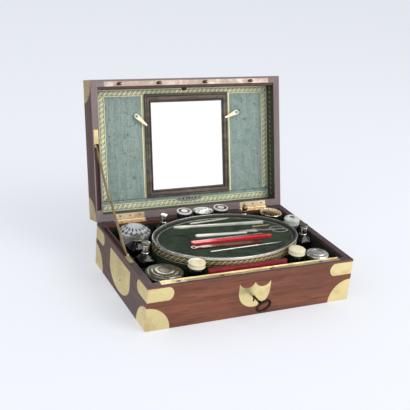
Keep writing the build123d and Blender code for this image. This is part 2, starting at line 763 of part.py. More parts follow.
brush = Tool((-74, 47), (96, 31))
stick = Tool((-40, 56.5), (42, 63))
paper_knife = Tool((-52, 5.7), (45, -2.4))
razor = Tool((-72, -22), (81, -27))
lorgnette = Tool((-80, -38.5), (52, -45))
probe = Tool((-53, -58), (85, -53.5))
scissors = Tool((32, 6), (124, -5))
leaf_centre = (-86 * spread_x, 2 * spread_y)
leaf_size = (44, 34)
brush_width = 8.0
brush_neck = 4.0
brush_head = 30.0
brush_thickness = 3.6
stick_radius = 1.7
stick_point = 0.7
knife_wide = 9.0
knife_narrow = 5.0
knife_thickness = 3.2
knife_bevel = 0.9
razor_wide = 10.0
razor_narrow = 7.0
razor_scale = 1.8
razor_blade = 1.2
lorgnette_width = 9.0
lorgnette_thickness = 3.6
lorgnette_ring = 5.2
lorgnette_ring_bore = 2.9
probe_radius = 1.3
collar_rise = 0.4
collar_length = 2.0
probe_point = 0.5
scissor_thickness = 1.4
scissor_gap = 0.2
scissor_pivot = 14.0          # pivot from the middle, towards the points
scissor_blade_width = 4.4
scissor_bow_long = 30.0
scissor_bow_wide = 15.2
scissor_bow_wire = 2.2
scissor_shank = 3.4
scissor_pin = 1.3


def brush_outline(plane, grow):
    """A slim handle that swells towards its end, drawn in behind an oval head."""
    half = brush.length / 2
    with BuildSketch(plane) as outline:
        with Locations((-half + brush_head, 0)):
            Circle(brush_neck / 2 + grow)
        with Locations((half - brush_width / 2, 0)):
            Circle(brush_width / 2 + grow)
        make_hull()
        with Locations((-half + brush_head / 2, 0)):
            Ellipse(brush_head / 2 + brush_neck / 2 + grow, brush_width / 2 + grow)
    return outline.sketch


def bar_outline(tool, wide, narrow, plane, grow):
    """A tapering bar with rounded ends, the wide end first."""
    with BuildSketch(plane) as outline:
        with Locations((-tool.length / 2 + wide / 2, 0)):
            Circle(wide / 2 + grow)
        with Locations((tool.length / 2 - narrow / 2, 0)):
            Circle(narrow / 2 + grow)
        make_hull()
    return outline.sketch


def scissor_room(plane):
    """The shallow bed of the scissors."""
    with BuildSketch(plane) as outline:
        with Locations((-scissors.length / 2 + scissor_blade_width, 0)):
            Circle(scissor_blade_width + pocket_play)
        with Locations((scissors.length / 2 - scissor_bow_long, 0)):
            Circle(scissor_blade_width + pocket_play)
        make_hull()
        with Locations((scissors.length / 2 - scissor_bow_long / 2, 0)):
            RectangleRounded(scissor_bow_long + 2 * pocket_play, 2 * (scissor_bow_wide + pocket_play),
                             scissor_bow_wide / 3)
    return outline.sketch


with BuildPart() as oval_tray:
    oval_ring(tray_floor, tray_top, drum_inset + tray_fit, 0)
    extrude(brush_outline(brush.flat(pocket_floor), pocket_play), amount=pocket_depth, mode=Mode.SUBTRACT)
    for bed in (
        bar_outline(stick, 2 * stick_radius, 2 * stick_radius, stick.flat(pocket_floor), pocket_play),
        bar_outline(paper_knife, knife_wide, knife_narrow, paper_knife.flat(pocket_floor), pocket_play),
        bar_outline(razor, razor_wide, razor_narrow, razor.flat(pocket_floor), pocket_play),
        bar_outline(lorgnette, 2 * lorgnette_ring, lorgnette_width, lorgnette.flat(pocket_floor), pocket_play),
        bar_outline(probe, 2 * probe_radius + collar_rise, 2 * probe_radius + collar_rise,
                    probe.flat(pocket_floor), pocket_play),
        scissor_room(scissors.flat(pocket_floor)),
    ):
        extrude(bed, amount=pocket_depth, mode=Mode.SUBTRACT)
    with BuildSketch(Plane.XY.offset(pocket_floor)) as leaf_bed:
        with Locations(leaf_centre):
            Ellipse(leaf_size[0] / 2, leaf_size[1] / 2)
    extrude(leaf_bed.sketch, amount=pocket_depth, mode=Mode.SUBTRACT)

with BuildPart() as ivory_brush:
    extrude(brush_outline(brush.flat(pocket_floor), 0), amount=brush_thickness)


def turned_rod(tool, radius, point, collars=()):
    """A round rod lying in its bed, tapering to a point, with turned collars."""
    half = tool.length / 2
    level = pocket_floor + radius + (collar_rise if collars else 0)
    with BuildSketch(tool.upright(level)) as profile:
        with BuildLine():
            Polyline((-half, 0), (-half, radius * 0.7), (-half + 2, radius), (0, radius),
                     (half - 12, point * 1.3), (half, point * 0.5), (half, 0), close=True)
        make_face()
        for place in collars:
            with Locations((place, (radius + collar_rise) / 2)):
                Rectangle(collar_length, radius + collar_rise)
    revolve(profile.sketch, axis=Axis(tool.upright(level).origin, tool.upright(level).x_dir))


with BuildPart() as ivory_stick:
    turned_rod(stick, stick_radius, stick_point)

with BuildPart() as steel_probe:
    turned_rod(probe, probe_radius, probe_point, collars=(-30, -24, 20))

with BuildPart() as ivory_paper_knife:
    extrude(bar_outline(paper_knife, knife_wide, knife_narrow, paper_knife.flat(pocket_floor), 0),
            amount=knife_thickness)
    chamfer(ivory_paper_knife.faces().sort_by(Axis.Z)[-1].edges(), knife_bevel)

with BuildPart() as folded_razor:
    extrude(bar_outline(razor, razor_wide, razor_narrow, razor.flat(pocket_floor), 0), amount=razor_scale)
    upper_scale = pocket_floor + razor_scale + razor_blade
    extrude(bar_outline(razor, razor_wide, razor_narrow, razor.flat(upper_scale), 0), amount=razor_scale)
    extrude(bar_outline(razor, razor_wide - 3, razor_narrow - 3, razor.flat(pocket_floor + razor_scale), 0),
            amount=razor_blade)

with BuildPart() as tortoiseshell_lorgnette:
    ring_x = -lorgnette.length / 2 + lorgnette_ring
    with BuildSketch(lorgnette.flat(pocket_floor)) as outline:
        with Locations((ring_x, 0)):
            Circle(lorgnette_ring)
        with Locations((ring_x + lorgnette_ring + 4, 0)):
            Rectangle(12, lorgnette_width / 2)
        with BuildLine():
            ThreePointArc((ring_x + lorgnette_ring + 8, -lorgnette_width / 2 + 1), (0, -lorgnette_width / 2),
                          (lorgnette.length / 2 - 4, -lorgnette_width / 2 + 1))
            ThreePointArc((lorgnette.length / 2 - 4, -lorgnette_width / 2 + 1), (lorgnette.length / 2, 0),
                          (lorgnette.length / 2 - 4, lorgnette_width / 2 - 1))
            ThreePointArc((lorgnette.length / 2 - 4, lorgnette_width / 2 - 1), (0, lorgnette_width / 2),
                          (ring_x + lorgnette_ring + 8, lorgnette_width / 2 - 1))
            Line((ring_x + lorgnette_ring + 8, lorgnette_width / 2 - 1),
                 (ring_x + lorgnette_ring + 8, -lorgnette_width / 2 + 1))
        make_face()
        with Locations((ring_x, 0)):
            Circle(lorgnette_ring_bore, mode=Mode.SUBTRACT)
    extrude(outline.sketch, amount=lorgnette_thickness)


def scissor_half(level, side):
    """One half of the scissors: a blade, a crossing shank and a bow on the other side."""
    bow_x = scissors.length / 2 - scissor_bow_long / 2
    bow_y_local = side * scissor_bow_wide / 2
    with BuildSketch(scissors.flat(level)) as half:
        with BuildLine():
            Polyline((-scissors.length / 2, 0), (-scissor_pivot, -side * scissor_blade_width),
                     (-scissor_pivot + 6, -side * scissor_shank / 2),
                     (bow_x - scissor_bow_long / 2 + 2, side * 0.6),
                     (bow_x - scissor_bow_long / 2 + 2, side * (scissor_shank + 1.0)),
                     (-scissor_pivot, side * scissor_shank / 2), close=True)
        make_face()
        with Locations((bow_x, bow_y_local)):
            Ellipse(scissor_bow_long / 2, scissor_bow_wide / 2 - 0.2)
        with Locations((bow_x, bow_y_local)):
            Ellipse(scissor_bow_long / 2 - scissor_bow_wire, scissor_bow_wide / 2 - 0.2 - scissor_bow_wire,
                    mode=Mode.SUBTRACT)
    extrude(half.sketch, amount=scissor_thickness)


scissor_upper = pocket_floor + scissor_thickness + scissor_gap
scissor_pivot_plane = scissors.flat(pocket_floor)

with BuildPart() as scissors_lower_half:
    scissor_half(pocket_floor, 1)
    with BuildSketch(scissor_pivot_plane) as rivet:
        with Locations((-scissor_pivot + 2, 0)):
            Circle(scissor_pin)
    extrude(rivet.sketch, amount=2 * scissor_thickness + scissor_gap)

with BuildPart() as scissors_upper_half:
    scissor_half(scissor_upper, -1)
    with BuildSketch(scissors.flat(scissor_upper)) as rivet_hole:
        with Locations((-scissor_pivot + 2, 0)):
            Circle(scissor_pin + running_fit)
    extrude(rivet_hole.sketch, amount=scissor_thickness, mode=Mode.SUBTRACT)

# ---------------------------------------------------------------- vessels
floor_z = bottom_thickness
glass_wall = 3.0
large_lid_radius = 32.0 * spread_least
large_box_radius = 29.5 * spread_least
large_box_top = case_height - 9.5
large_lid_top = case_height + 1.5
large_box_x = -(inner_half_width - 2.5 - large_lid_radius)
large_box_y = -(inner_half_depth - 2.5 - large_lid_radius)
small_box_radius = 18.5 * spread_least
small_lid_radius = 20.5 * spread_least
small_box_top = case_height - 8.5
small_lid_top = case_height + 1.5
small_box_x = inner_half_width - 14.0 * spread_x - small_lid_radius
small_box_y = -(inner_half_depth - 8.5 * spread_y - small_lid_radius)
jar_x = 94.0 * spread_x
jar_y = -(inner_half_depth - 20.5 * spread_y)
jar_radius = 13.5 * spread_least
jar_cap_radius = 14.5 * spread_least
jar_top = case_height + 7.5
jar_cap_top = case_height + 19.0
side_row_x = inner_half_width - 24.5 * spread_x
bottle_y = -18.0 * spread_y
bottle_width = 28.0 * spread_least
bottle_shoulder = case_height - 6.5
bottle_neck_radius = 5.4
bottle_neck_foot = case_height + 3.5
bottle_neck_top = case_height + 19.0
stopper_radius = 7.6
stopper_top = case_height + 23.5
stopper_plug = 2.8
square_y = 23.0 * spread_y
square_width = 34.0 * spread_least
square_depth = 30.0 * spread_least
square_shoulder = case_height - 2.5
square_top = case_height + 5.5
square_disc_radius = 13.0 * spread_least
square_disc_top = case_height + 14.5
dish_radius = 28.5 * spread_least
dish_x = -(inner_half_width - 13.5 * spread_x - dish_radius)
dish_y = inner_half_depth - 5.0 - dish_radius
dish_rim = case_height - 2.5
dish_top = case_height + 8.5
dish_flutes = 16
beaker_radius = 21.0 * spread_least
beaker_wall = 1.4
beaker_top = case_height + 7.5
beaker_x = inner_half_width - 14.5 * spread_x - beaker_radius
beaker_y = inner_half_depth - 10.5 * spread_y - beaker_radius
white_jar_y = 27.0 * spread_y
white_jar_radius = 14.5 * spread_least
white_jar_body_top = case_height + 5.5
white_jar_top = case_height + 19.5
cup_x = 3.8 * spread_x
cup_half_long = 20.5 * spread_x
cup_half_wide = 16.2 * spread_y
cup_y = inner_half_depth - 0.8 - cup_half_wide
cup_foot_inset = 5.4
cup_wall = 1.2
cup_top = case_height + 18.5
ring_box_places = (-33.2 * spread_x, 41.4 * spread_x)
ring_box_radius = 13.8 * spread_least
ring_box_y = inner_half_depth - 1.4 - ring_box_radius
ring_box_top = case_height + 21.0
scent_places = (-75.0 * spread_x, 90.0 * spread_x)
scent_width = 26.0 * spread_least
scent_y = inner_half_depth - 7.5 * spread_y - scent_width / 2
scent_shoulder = case_height + 1.5
scent_top = case_height + 19.5
scent_top_right = case_height + 22.0
comb_case_x0 = -78.0 * spread_x
comb_case_length = 146.0 * spread_x
comb_case_depth = 7.8
comb_case_top = case_height + 5.5
comb_case_y = -inner_half_depth + rail_depth + flap_play + comb_case_depth / 2


def square_body(x, y, width, depth, foot, shoulder, neck_radius, neck_foot):
    """A cut-glass body: square with canted corners, drawn in to a round neck."""
    with BuildSketch(Plane.XY.offset(foot)) as base:
        with Locations((x, y)):
            Rectangle(width, depth)
        chamfer(base.vertices(), width * 0.14)
    extrude(base.sketch, amount=shoulder - foot)
    with BuildSketch(Plane.XY.offset(shoulder)) as lower:
        with Locations((x, y)):
            Rectangle(width, depth)
        chamfer(lower.vertices(), width * 0.14)
    with BuildSketch(Plane.XY.offset(neck_foot)) as upper:
        with Locations((x, y)):
            RegularPolygon(neck_radius + 1.5, 8, rotation=22.5)
    loft([lower.sketch.face(), upper.sketch.face()])


def round_box(x, y, radius, top):
    """A round cut-glass body with a drawn-in shoulder, standing on the floor."""
    turned(x, y, [(0, floor_z), (radius - 2, floor_z), (radius, floor_z + 2), (radius, top - 5),
                  (radius - 3, top), (0, top)])


def open_jar(x, y, radius, top):
    """A round glass body with an open mouth, its floor as thick as its wall."""
    bore = radius - glass_wall
    turned(x, y, [(0, floor_z), (radius - 2, floor_z), (radius, floor_z + 2), (radius, top - 4),
                  (radius - 1, top), (bore, top), (bore, floor_z + glass_wall), (0, floor_z + glass_wall)])


with BuildPart() as large_powder_box:
    open_jar(large_box_x, large_box_y, large_box_radius, large_box_top)

with BuildPart() as large_powder_box_lid:
    rim = large_lid_radius
    foot = large_box_top
    turned(large_box_x, large_box_y, [
        (0, foot), (rim - 1, foot), (rim, foot + 1), (rim, foot + 5), (rim - 2, foot + 7),
        (rim - 7, foot + 7.6), (rim - 8, foot + 9.6), (rim - 15, foot + 10.2), (rim - 16, large_lid_top),
        (rim - 21, large_lid_top), (rim - 22, large_lid_top - 1), (0, large_lid_top - 0.6)])

with BuildPart() as small_powder_box:
    round_box(small_box_x, small_box_y, small_box_radius, small_box_top)
    rim = small_lid_radius
    foot = small_box_top
    turned(small_box_x, small_box_y, [
        (0, foot), (rim - 1, foot), (rim, foot + 1), (rim, foot + 5), (rim - 2, foot + 7.5),
        (rim - 6, foot + 8.4), (rim - 7, small_lid_top), (rim - 11, small_lid_top),
        (rim - 12, small_lid_top - 1), (0, small_lid_top - 1)])


def ivory_cap(x):
    """A domed and beaded ivory cap."""
    rim = jar_cap_radius
    turned(x, jar_y, [
        (0, jar_top), (rim - 0.8, jar_top), (rim, jar_top + 1), (rim, jar_top + 8),
        (rim - 1, jar_top + 9.6), (rim - 3, jar_top + 10.6), (rim - 6, jar_cap_top - 0.6),
        (rim - 8, jar_cap_top), (0, jar_cap_top)])


with BuildPart() as jar_left:
    open_jar(-jar_x, jar_y, jar_radius, jar_top)
with BuildPart() as jar_right:
    open_jar(jar_x, jar_y, jar_radius, jar_top)
with BuildPart() as jar_cap_left:
    ivory_cap(-jar_x)
with BuildPart() as jar_cap_right:
    ivory_cap(jar_x)


def bottle(x):
    """A square bottle with a silver neck; the bore takes the stopper's plug."""
    square_body(x, bottle_y, bottle_width, bottle_width, floor_z, bottle_shoulder, bottle_neck_radius,
                bottle_neck_foot)
    neck = bottle_neck_radius
    turned(x, bottle_y, [(0, bottle_neck_foot), (neck + 1.4, bottle_neck_foot), (neck, bottle_neck_foot + 3),
                         (neck, bottle_neck_top - 3), (neck + 0.8, bottle_neck_top - 2),
                         (neck + 0.8, bottle_neck_top), (0, bottle_neck_top)])
    disc(as_drawn, x, bottle_y, stopper_plug + running_fit, bottle_neck_top - 9, bottle_neck_top,
         mode=Mode.SUBTRACT)


def stopper(x):
    """A disc-topped stopper with its plug."""
    foot = bottle_neck_top
    turned(x, bottle_y, [(0, foot - 8.5), (stopper_plug, foot - 8.5), (stopper_plug, foot),
                         (stopper_radius - 2.6, foot), (stopper_radius - 2, foot + 1), (stopper_radius, foot + 1.6),
                         (stopper_radius, stopper_top - 1), (stopper_radius - 1.4, stopper_top), (0, stopper_top)])


with BuildPart() as bottle_left:
    bottle(-side_row_x)
with BuildPart() as bottle_right:
    bottle(side_row_x)
with BuildPart() as stopper_left:
    stopper(-side_row_x)
with BuildPart() as stopper_right:
    stopper(side_row_x)

with BuildPart() as faceted_bottle:
    square_body(-side_row_x, square_y, square_width, square_depth, floor_z, square_shoulder, 7.0, square_top)
    turned(-side_row_x, square_y, [
        (0, square_top), (6.5, square_top), (5.5, square_disc_top - 4), (square_disc_radius - 1, square_disc_top - 4),
        (square_disc_radius, square_disc_top - 3), (square_disc_radius, square_disc_top - 1),
        (square_disc_radius - 1.5, square_disc_top), (0, square_disc_top)])

with BuildPart() as fluted_jar:
    turned(dish_x, dish_y, [
        (0, floor_z), (dish_radius - 6, floor_z), (dish_radius - 3, floor_z + 4), (dish_radius - 3, dish_rim - 8),
        (dish_radius, dish_rim), (dish_radius, dish_rim + 2), (dish_radius - 4, dish_rim + 6),
        (dish_radius - 13, dish_top), (0, dish_top)])
    with BuildSketch(Plane.XY.offset(floor_z)) as flutes:
        with Locations((dish_x, dish_y)):
            with PolarLocations(dish_radius + 1.0, dish_flutes):
                Circle(2.6)
    extrude(flutes.sketch, amount=dish_top - floor_z, mode=Mode.SUBTRACT)

with BuildPart() as silver_beaker:
    turned(beaker_x, beaker_y, [
        (0, floor_z), (beaker_radius - 4, floor_z), (beaker_radius - 2, floor_z + 1.5),
        (beaker_radius - 1.2, beaker_top - 6), (beaker_radius, beaker_top - 2), (beaker_radius, beaker_top),
        (beaker_radius - beaker_wall, beaker_top), (beaker_radius - beaker_wall - 1.2, beaker_top - 7),
        (beaker_radius - beaker_wall - 2.2, floor_z + 3), (0, floor_z + 3)])

with BuildPart() as white_jar:
    round_box(side_row_x + 2, white_jar_y, white_jar_radius - 1, white_jar_body_top)
    rim = white_jar_radius
    turned(side_row_x + 2, white_jar_y, [
        (0, white_jar_body_top), (rim - 1, white_jar_body_top), (rim, white_jar_body_top + 1),
        (rim, white_jar_top - 4), (rim - 1.5, white_jar_top - 2), (rim - 4, white_jar_top - 1.6),
        (rim - 5, white_jar_top), (0, white_jar_top)])

cup_floor = bottom_thickness + back_step


def cup_oval(inset, level):
    """The cup's oval at a level, set in from its mouth."""
    with BuildSketch(Plane.XY.offset(level)) as oval:
        with Locations((cup_x, cup_y)):
            Ellipse(cup_half_long - inset, cup_half_wide - inset)
    return oval.sketch.face()


with BuildPart() as silver_cup:
    loft([cup_oval(cup_foot_inset, cup_floor), cup_oval(0, cup_top)])
    loft([cup_oval(cup_foot_inset + cup_wall, cup_floor + 2 * cup_wall), cup_oval(cup_wall, cup_top)],
         mode=Mode.SUBTRACT)


def ring_box(x):
    """A turned ivory box whose lid has a dark ring round a white centre."""
    foot = bottom_thickness + back_step
    rim = ring_box_radius
    turned(x, ring_box_y, [
        (0, foot), (rim - 1.6, foot), (rim - 0.8, foot + 2), (rim - 0.8, ring_box_top - 12),
        (rim, ring_box_top - 11), (rim, ring_box_top - 1.2), (rim - 1.2, ring_box_top),
        (rim - 3.2, ring_box_top), (rim - 4, ring_box_top - 1.2), (rim - 5.6, ring_box_top - 1.2),
        (rim - 6.6, ring_box_top - 0.2), (0, ring_box_top)])


with BuildPart() as ring_box_left:
    ring_box(ring_box_places[0])
with BuildPart() as ring_box_right:
    ring_box(ring_box_places[1])

with BuildPart() as scent_bottle_left:
    square_body(scent_places[0], scent_y, scent_width, scent_width, floor_z, scent_shoulder - 8, 5.0, scent_shoulder)
    turned(scent_places[0], scent_y, [
        (0, scent_shoulder), (5.4, scent_shoulder), (4.6, scent_shoulder + 3), (4.6, scent_top - 5),
        (6.4, scent_top - 4), (6.6, scent_top - 1), (5.4, scent_top), (0, scent_top)])

with BuildPart() as scent_bottle_right:
    square_body(scent_places[1], scent_y, scent_width, scent_width, floor_z, scent_shoulder - 8, 5.0, scent_shoulder)
    turned(scent_places[1], scent_y, [
        (0, scent_shoulder), (4.6, scent_shoulder), (3.4, scent_shoulder + 4), (3.4, scent_top_right - 11),
        (5.6, scent_top_right - 7), (5.6, scent_top_right - 3), (3.4, scent_top_right), (0, scent_top_right)])

with BuildPart() as comb_case:
    block(as_drawn, comb_case_x0, comb_case_x0 + comb_case_length,
          comb_case_y - comb_case_depth / 2, comb_case_y + comb_case_depth / 2, floor_z, comb_case_top)
    fillet(comb_case.edges().filter_by(Axis.Z), 2.5)
    block(as_drawn, comb_case_x0 + 3, comb_case_x0 + comb_case_length - 3, comb_case_y - 0.6,
          comb_case_y + 0.6, comb_case_top - 2, comb_case_top, mode=Mode.SUBTRACT)

# ---------------------------------------------------------------- write every piece
pieces = {
    "case_front_board": case_front_board,
    "case_back_board": case_back_board,
    "case_end_boards": case_end_boards,
    "case_bottom_board": case_bottom_board,
    "case_inlaid_brasses": case_inlaid_brasses,
    "case_rim_strip": case_rim_strip,
    "escutcheon": escutcheon,
    "lock_case": lock_case,
    "partitions": partitions,
    "case_hinge_leaves": case_hinge_leaves,
    "stay_case_plate": stay_case_plate,
    "lid_front_board": lid_front_board,
    "lid_back_board": lid_back_board,
    "lid_end_boards": lid_end_boards,
    "lid_top_board": lid_top_board,
    "lid_corner_brackets": lid_corner_brackets,
    "lid_rim_strip": lid_rim_strip,
    "lid_hinge_leaves": lid_hinge_leaves,
    "stay_lid_plate": stay_lid_plate,
    "lid_flap": lid_flap,
    "flap_catch": flap_catch,
    "mirror_frame": mirror_frame,
    "mirror_glass": mirror_glass,
    "turn_button_left": turn_button_left,
    "turn_button_right": turn_button_right,
    "stay_lower_link": stay_lower_link,
    "stay_upper_link": stay_upper_link,
    "key": key,
    "lock_bar": lock_bar,
    "oval_case": oval_case,
    "oval_tray": oval_tray,
    "ivory_brush": ivory_brush,
    "ivory_stick": ivory_stick,
    "ivory_paper_knife": ivory_paper_knife,
    "folded_razor": folded_razor,
    "tortoiseshell_lorgnette": tortoiseshell_lorgnette,
    "steel_probe": steel_probe,
    "scissors_lower_half": scissors_lower_half,
    "scissors_upper_half": scissors_upper_half,
    "large_powder_box": large_powder_box,
    "large_powder_box_lid": large_powder_box_lid,
    "small_powder_box": small_powder_box,
    "jar_left": jar_left,
    "jar_right": jar_right,
    "jar_cap_left": jar_cap_left,
    "jar_cap_right": jar_cap_right,
    "bottle_left": bottle_left,
    "bottle_right": bottle_right,
    "stopper_left": stopper_left,
    "stopper_right": stopper_right,
    "faceted_bottle": faceted_bottle,
    "fluted_jar": fluted_jar,
    "silver_beaker": silver_beaker,
    "white_jar": white_jar,
    "silver_cup": silver_cup,
    "ring_box_left": ring_box_left,
    "ring_box_right": ring_box_right,
    "scent_bottle_left": scent_bottle_left,
    "scent_bottle_right": scent_bottle_right,
    "comb_case": comb_case,
}
for name, piece in pieces.items():
    end_piece(piece, name)

print(f"stay: swing {stay_swing:.4f} deg, lower {lower_angle:.3f}, shut {lower_angle_shut:.3f}")
print(f"lid pivot open {lid_pivot_open.Y:.3f} {lid_pivot_open.Z:.3f}; case pivot {pivot_y:.3f} {case_pivot_z:.3f}")
for name, x, y, z in (("flap hinge", 0, flap_hinge_y, flap_face), ("left button", button_places[0], button_y, button_top),
                      ("right button", button_places[1], button_y, button_top)):
    spot = (lid_turn * Pos(x, y, z)).position
    print(f"{name} {spot.X:.3f} {spot.Y:.3f} {spot.Z:.3f}")
pivot = scissors.flat(scissor_upper).from_local_coords((-scissor_pivot + 2, 0, 0))
print(f"scissors pivot {pivot.X:.3f} {pivot.Y:.3f} {pivot.Z:.3f}")
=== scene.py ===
"""Looks for an antique brass-bound dressing box, thrown open on its stay.

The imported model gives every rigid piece. This file dresses those pieces and adds what is too fine for them: gilt
tooling, mouldings, cut glass, turned rings, linings and screws. Everything is in metres in the model's own frame.
"""
import logging
import math
from dataclasses import dataclass, field
from enum import Enum
from typing import Callable, Optional, Sequence

import bmesh
import bpy
import numpy as np
from mathutils import Matrix


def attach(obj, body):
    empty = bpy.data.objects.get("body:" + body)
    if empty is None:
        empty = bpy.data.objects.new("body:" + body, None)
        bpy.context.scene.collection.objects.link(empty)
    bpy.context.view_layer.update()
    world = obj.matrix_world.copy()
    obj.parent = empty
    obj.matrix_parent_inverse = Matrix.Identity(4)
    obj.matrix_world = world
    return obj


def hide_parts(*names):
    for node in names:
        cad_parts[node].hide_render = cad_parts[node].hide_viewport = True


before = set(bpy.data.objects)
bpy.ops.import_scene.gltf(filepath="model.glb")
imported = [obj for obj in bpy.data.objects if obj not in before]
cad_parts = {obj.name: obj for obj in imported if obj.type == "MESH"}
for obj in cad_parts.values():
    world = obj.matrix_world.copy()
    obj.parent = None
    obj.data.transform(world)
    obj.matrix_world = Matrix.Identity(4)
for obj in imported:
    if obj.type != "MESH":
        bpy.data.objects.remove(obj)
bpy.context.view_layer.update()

LOG = logging.getLogger("dressing_box")
MM = 0.001
CREASE = math.radians(35)
SAME_POINT = 2e-6
X_WAY, Y_WAY, Z_WAY = np.eye(3)
Colour = tuple[float, float, float]
Array = np.ndarray


class Along(Enum):
    """Which way the grain or the brushing runs."""

    X = (0.07, 1.0, 1.0)
    Y = (1.0, 0.07, 1.0)
    Z = (1.0, 1.0, 0.07)


# ------------------------------------------------------------------ geometry
HINGE_Y = 126.6
HINGE_Z = 78.75
LID_OPEN = math.radians(105.0)


def on_lid(points: Array) -> Array:
    """Turn points (mm) drawn on the shut lid to where the open lid has them.

    The turn is about the hinge pins: y and z are taken from the pin, turned by -105 degrees and put back.

    Args:
        points: any array whose last axis is x, y, z in millimetres.

    Returns:
        The turned points, same shape.
    """
    y = points[..., 1] - HINGE_Y
    z = points[..., 2] - HINGE_Z
    c, s = math.cos(-LID_OPEN), math.sin(-LID_OPEN)
    return np.stack([points[..., 0], HINGE_Y + c * y - s * z, HINGE_Z + s * y + c * z], axis=-1)


def weld(mesh: bpy.types.Mesh, turn_out: bool) -> None:
    """Merge a mesh's doubles and, on a closed shape, turn its faces outwards."""
    work = bmesh.new()
    work.from_mesh(mesh)
    bmesh.ops.remove_doubles(work, verts=work.verts, dist=SAME_POINT)
    if turn_out:
        bmesh.ops.recalc_face_normals(work, faces=work.faces)
    work.to_mesh(mesh)
    work.free()


def skin(name: str, grid: Array, round_u: bool = False, round_v: bool = False, smooth: bool = True,
         turn_out: bool = True) -> bpy.types.Object:
    """Make a surface from one grid, or many grids of one shape, in millimetres.

    Args:
        name: the new object's name.
        grid: points as (u, v, 3), or (copies, u, v, 3).
        round_u: join the last row to the first.
        round_v: join the last column to the first.
        smooth: shade it smooth, with edges past the crease angle kept sharp.
        turn_out: recalculate which side of its faces is outside.

    Returns:
        The object, at the origin, with its place in its mesh.
    """
    if grid.ndim == 3:
        grid = grid[None]
    copies, rows, columns, _ = grid.shape
    index = np.arange(copies * rows * columns).reshape(copies, rows, columns)
    if round_u:
        index = np.concatenate([index, index[:, :1]], axis=1)
    if round_v:
        index = np.concatenate([index, index[:, :, :1]], axis=2)
    faces = np.stack([index[:, :-1, :-1], index[:, 1:, :-1], index[:, 1:, 1:], index[:, :-1, 1:]], axis=-1)
    faces = faces.reshape(-1, 4)
    mesh = bpy.data.meshes.new(name)
    mesh.from_pydata((grid.reshape(-1, 3) * MM).tolist(), [], faces.tolist())
    weld(mesh, turn_out)
    if smooth:
        mesh.shade_smooth()
        mesh.set_sharp_from_angle(angle=CREASE)
    thing = bpy.data.objects.new(name, mesh)
    bpy.context.scene.collection.objects.link(thing)
    return thing


def full_turn(steps: int) -> Array:
    """Even angles round a circle."""
    return np.linspace(0, 2 * np.pi, steps, endpoint=False)


def lathe(profile: Sequence[tuple[float, float]], centre: tuple[float, float], sides: int = 72,
          ripple: Optional[Callable[[Array, Array], Array]] = None) -> Array:
    """Turn a profile about an upright axis: point = centre + r (cos a, sin a), height z.

    Args:
        profile: (radius, height) pairs from the middle of the foot to the middle of the top, or a closed loop.
        centre: the axis in plan.
        sides: how many steps round.
        ripple: gives a factor on the radius from the angle and the profile's running number.

    Returns:
        The grid, profile along u and the turn along v.
    """
    line = np.array(profile, float)
    angle = full_turn(sides)
    r = line[:, 0, None] * np.ones_like(angle)
    if ripple is not None:
        r = r * ripple(angle[None, :], np.arange(len(line))[:, None])
    z = line[:, 1, None] * np.ones_like(angle)
    return np.stack([centre[0] + r * np.cos(angle), centre[1] + r * np.sin(angle), z], axis=-1)


def among(row: Array, low: int, high: int) -> Array:
    """Which of a profile's rows lie from one to another."""
    return (row >= low) & (row <= high)


def rounded(profile: Sequence[tuple[float, float]], steps: int = 4) -> list[tuple[float, float]]:
    """Soften a profile's corners: each is cut back and replaced by a quadratic arc of a few steps."""
    line = np.array(profile, float)
    points = [tuple(line[0])]
    for before, corner, after in zip(line[:-2], line[1:-1], line[2:]):
        reach = 0.35 * min(np.linalg.norm(corner - before), np.linalg.norm(after - corner), 2.0)
        start = corner + reach * (before - corner) / max(np.linalg.norm(before - corner), 1e-6)
        end = corner + reach * (after - corner) / max(np.linalg.norm(after - corner), 1e-6)
        t = np.linspace(0, 1, steps)[:, None]
        arc = (1 - t) ** 2 * start + 2 * t * (1 - t) * corner + t ** 2 * end
        points.extend(tuple(p) for p in arc)
    points.append(tuple(line[-1]))
    return points


def mitred_ring(profile: Sequence[tuple[float, float]], x0: float, x1: float, y0: float, y1: float) -> Array:
    """Carry a closed profile round a rectangle with mitred corners.

    Args:
        profile: (inset from the outer edge, height) pairs of the closed section.
        x0: left outer edge.
        x1: right outer edge.
        y0: near outer edge.
        y1: far outer edge.

    Returns:
        The grid: the four corners along u, the section along v.
    """
    inset = np.array([p[0] for p in profile])
    height = np.array([p[1] for p in profile])
    xs = np.stack([x0 + inset, x1 - inset, x1 - inset, x0 + inset])
    ys = np.stack([y0 + inset, y0 + inset, y1 - inset, y1 - inset])
    return np.stack([xs, ys, np.broadcast_to(height, xs.shape)], axis=-1)


def pinched(corners: Array, low: float, high: float) -> Array:
    """A thin plate as a closed loft: its four corners at two heights, with both ends pinched to their middle."""
    middle = np.tile(corners.mean(axis=0), (4, 1))
    rows = ((middle, low), (corners, low), (corners, high), (middle, high))
    return np.stack([np.column_stack([ring, np.full(4, level)]) for ring, level in rows])


def slab(x0: float, x1: float, y0: float, y1: float, z0: float, z1: float) -> Array:
    """A thin box along the axes."""
    return pinched(np.array([[x0, y0], [x1, y0], [x1, y1], [x0, y1]]), z0, z1)


def ring_ways(turns: Array) -> tuple[Array, Array]:
    """Unit vectors out along some turns about Z, and those a quarter turn ahead of them."""
    c, s, nil = np.cos(turns), np.sin(turns), 0 * turns
    return np.stack([c, s, nil], axis=1), np.stack([-s, c, nil], axis=1)


def placed(motif: Array, origin: Array, along: Array, across: Array) -> Array:
    """Copy a small motif to many places: point = origin + x along + y across + z (along x across).

    Args:
        motif: grid (u, v, 3).
        origin: (copies, 3).
        along: unit vectors (copies, 3), or one for all.
        across: unit vectors (copies, 3), or one for all.

    Returns:
        Grids (copies, u, v, 3).
    """
    along, across = (np.broadcast_to(way, origin.shape) for way in (along, across))
    spread = np.stack([along, across, np.cross(along, across)], axis=1)
    return origin[:, None, None, :] + np.einsum("uvk,ckj->cuvj", motif, spread)


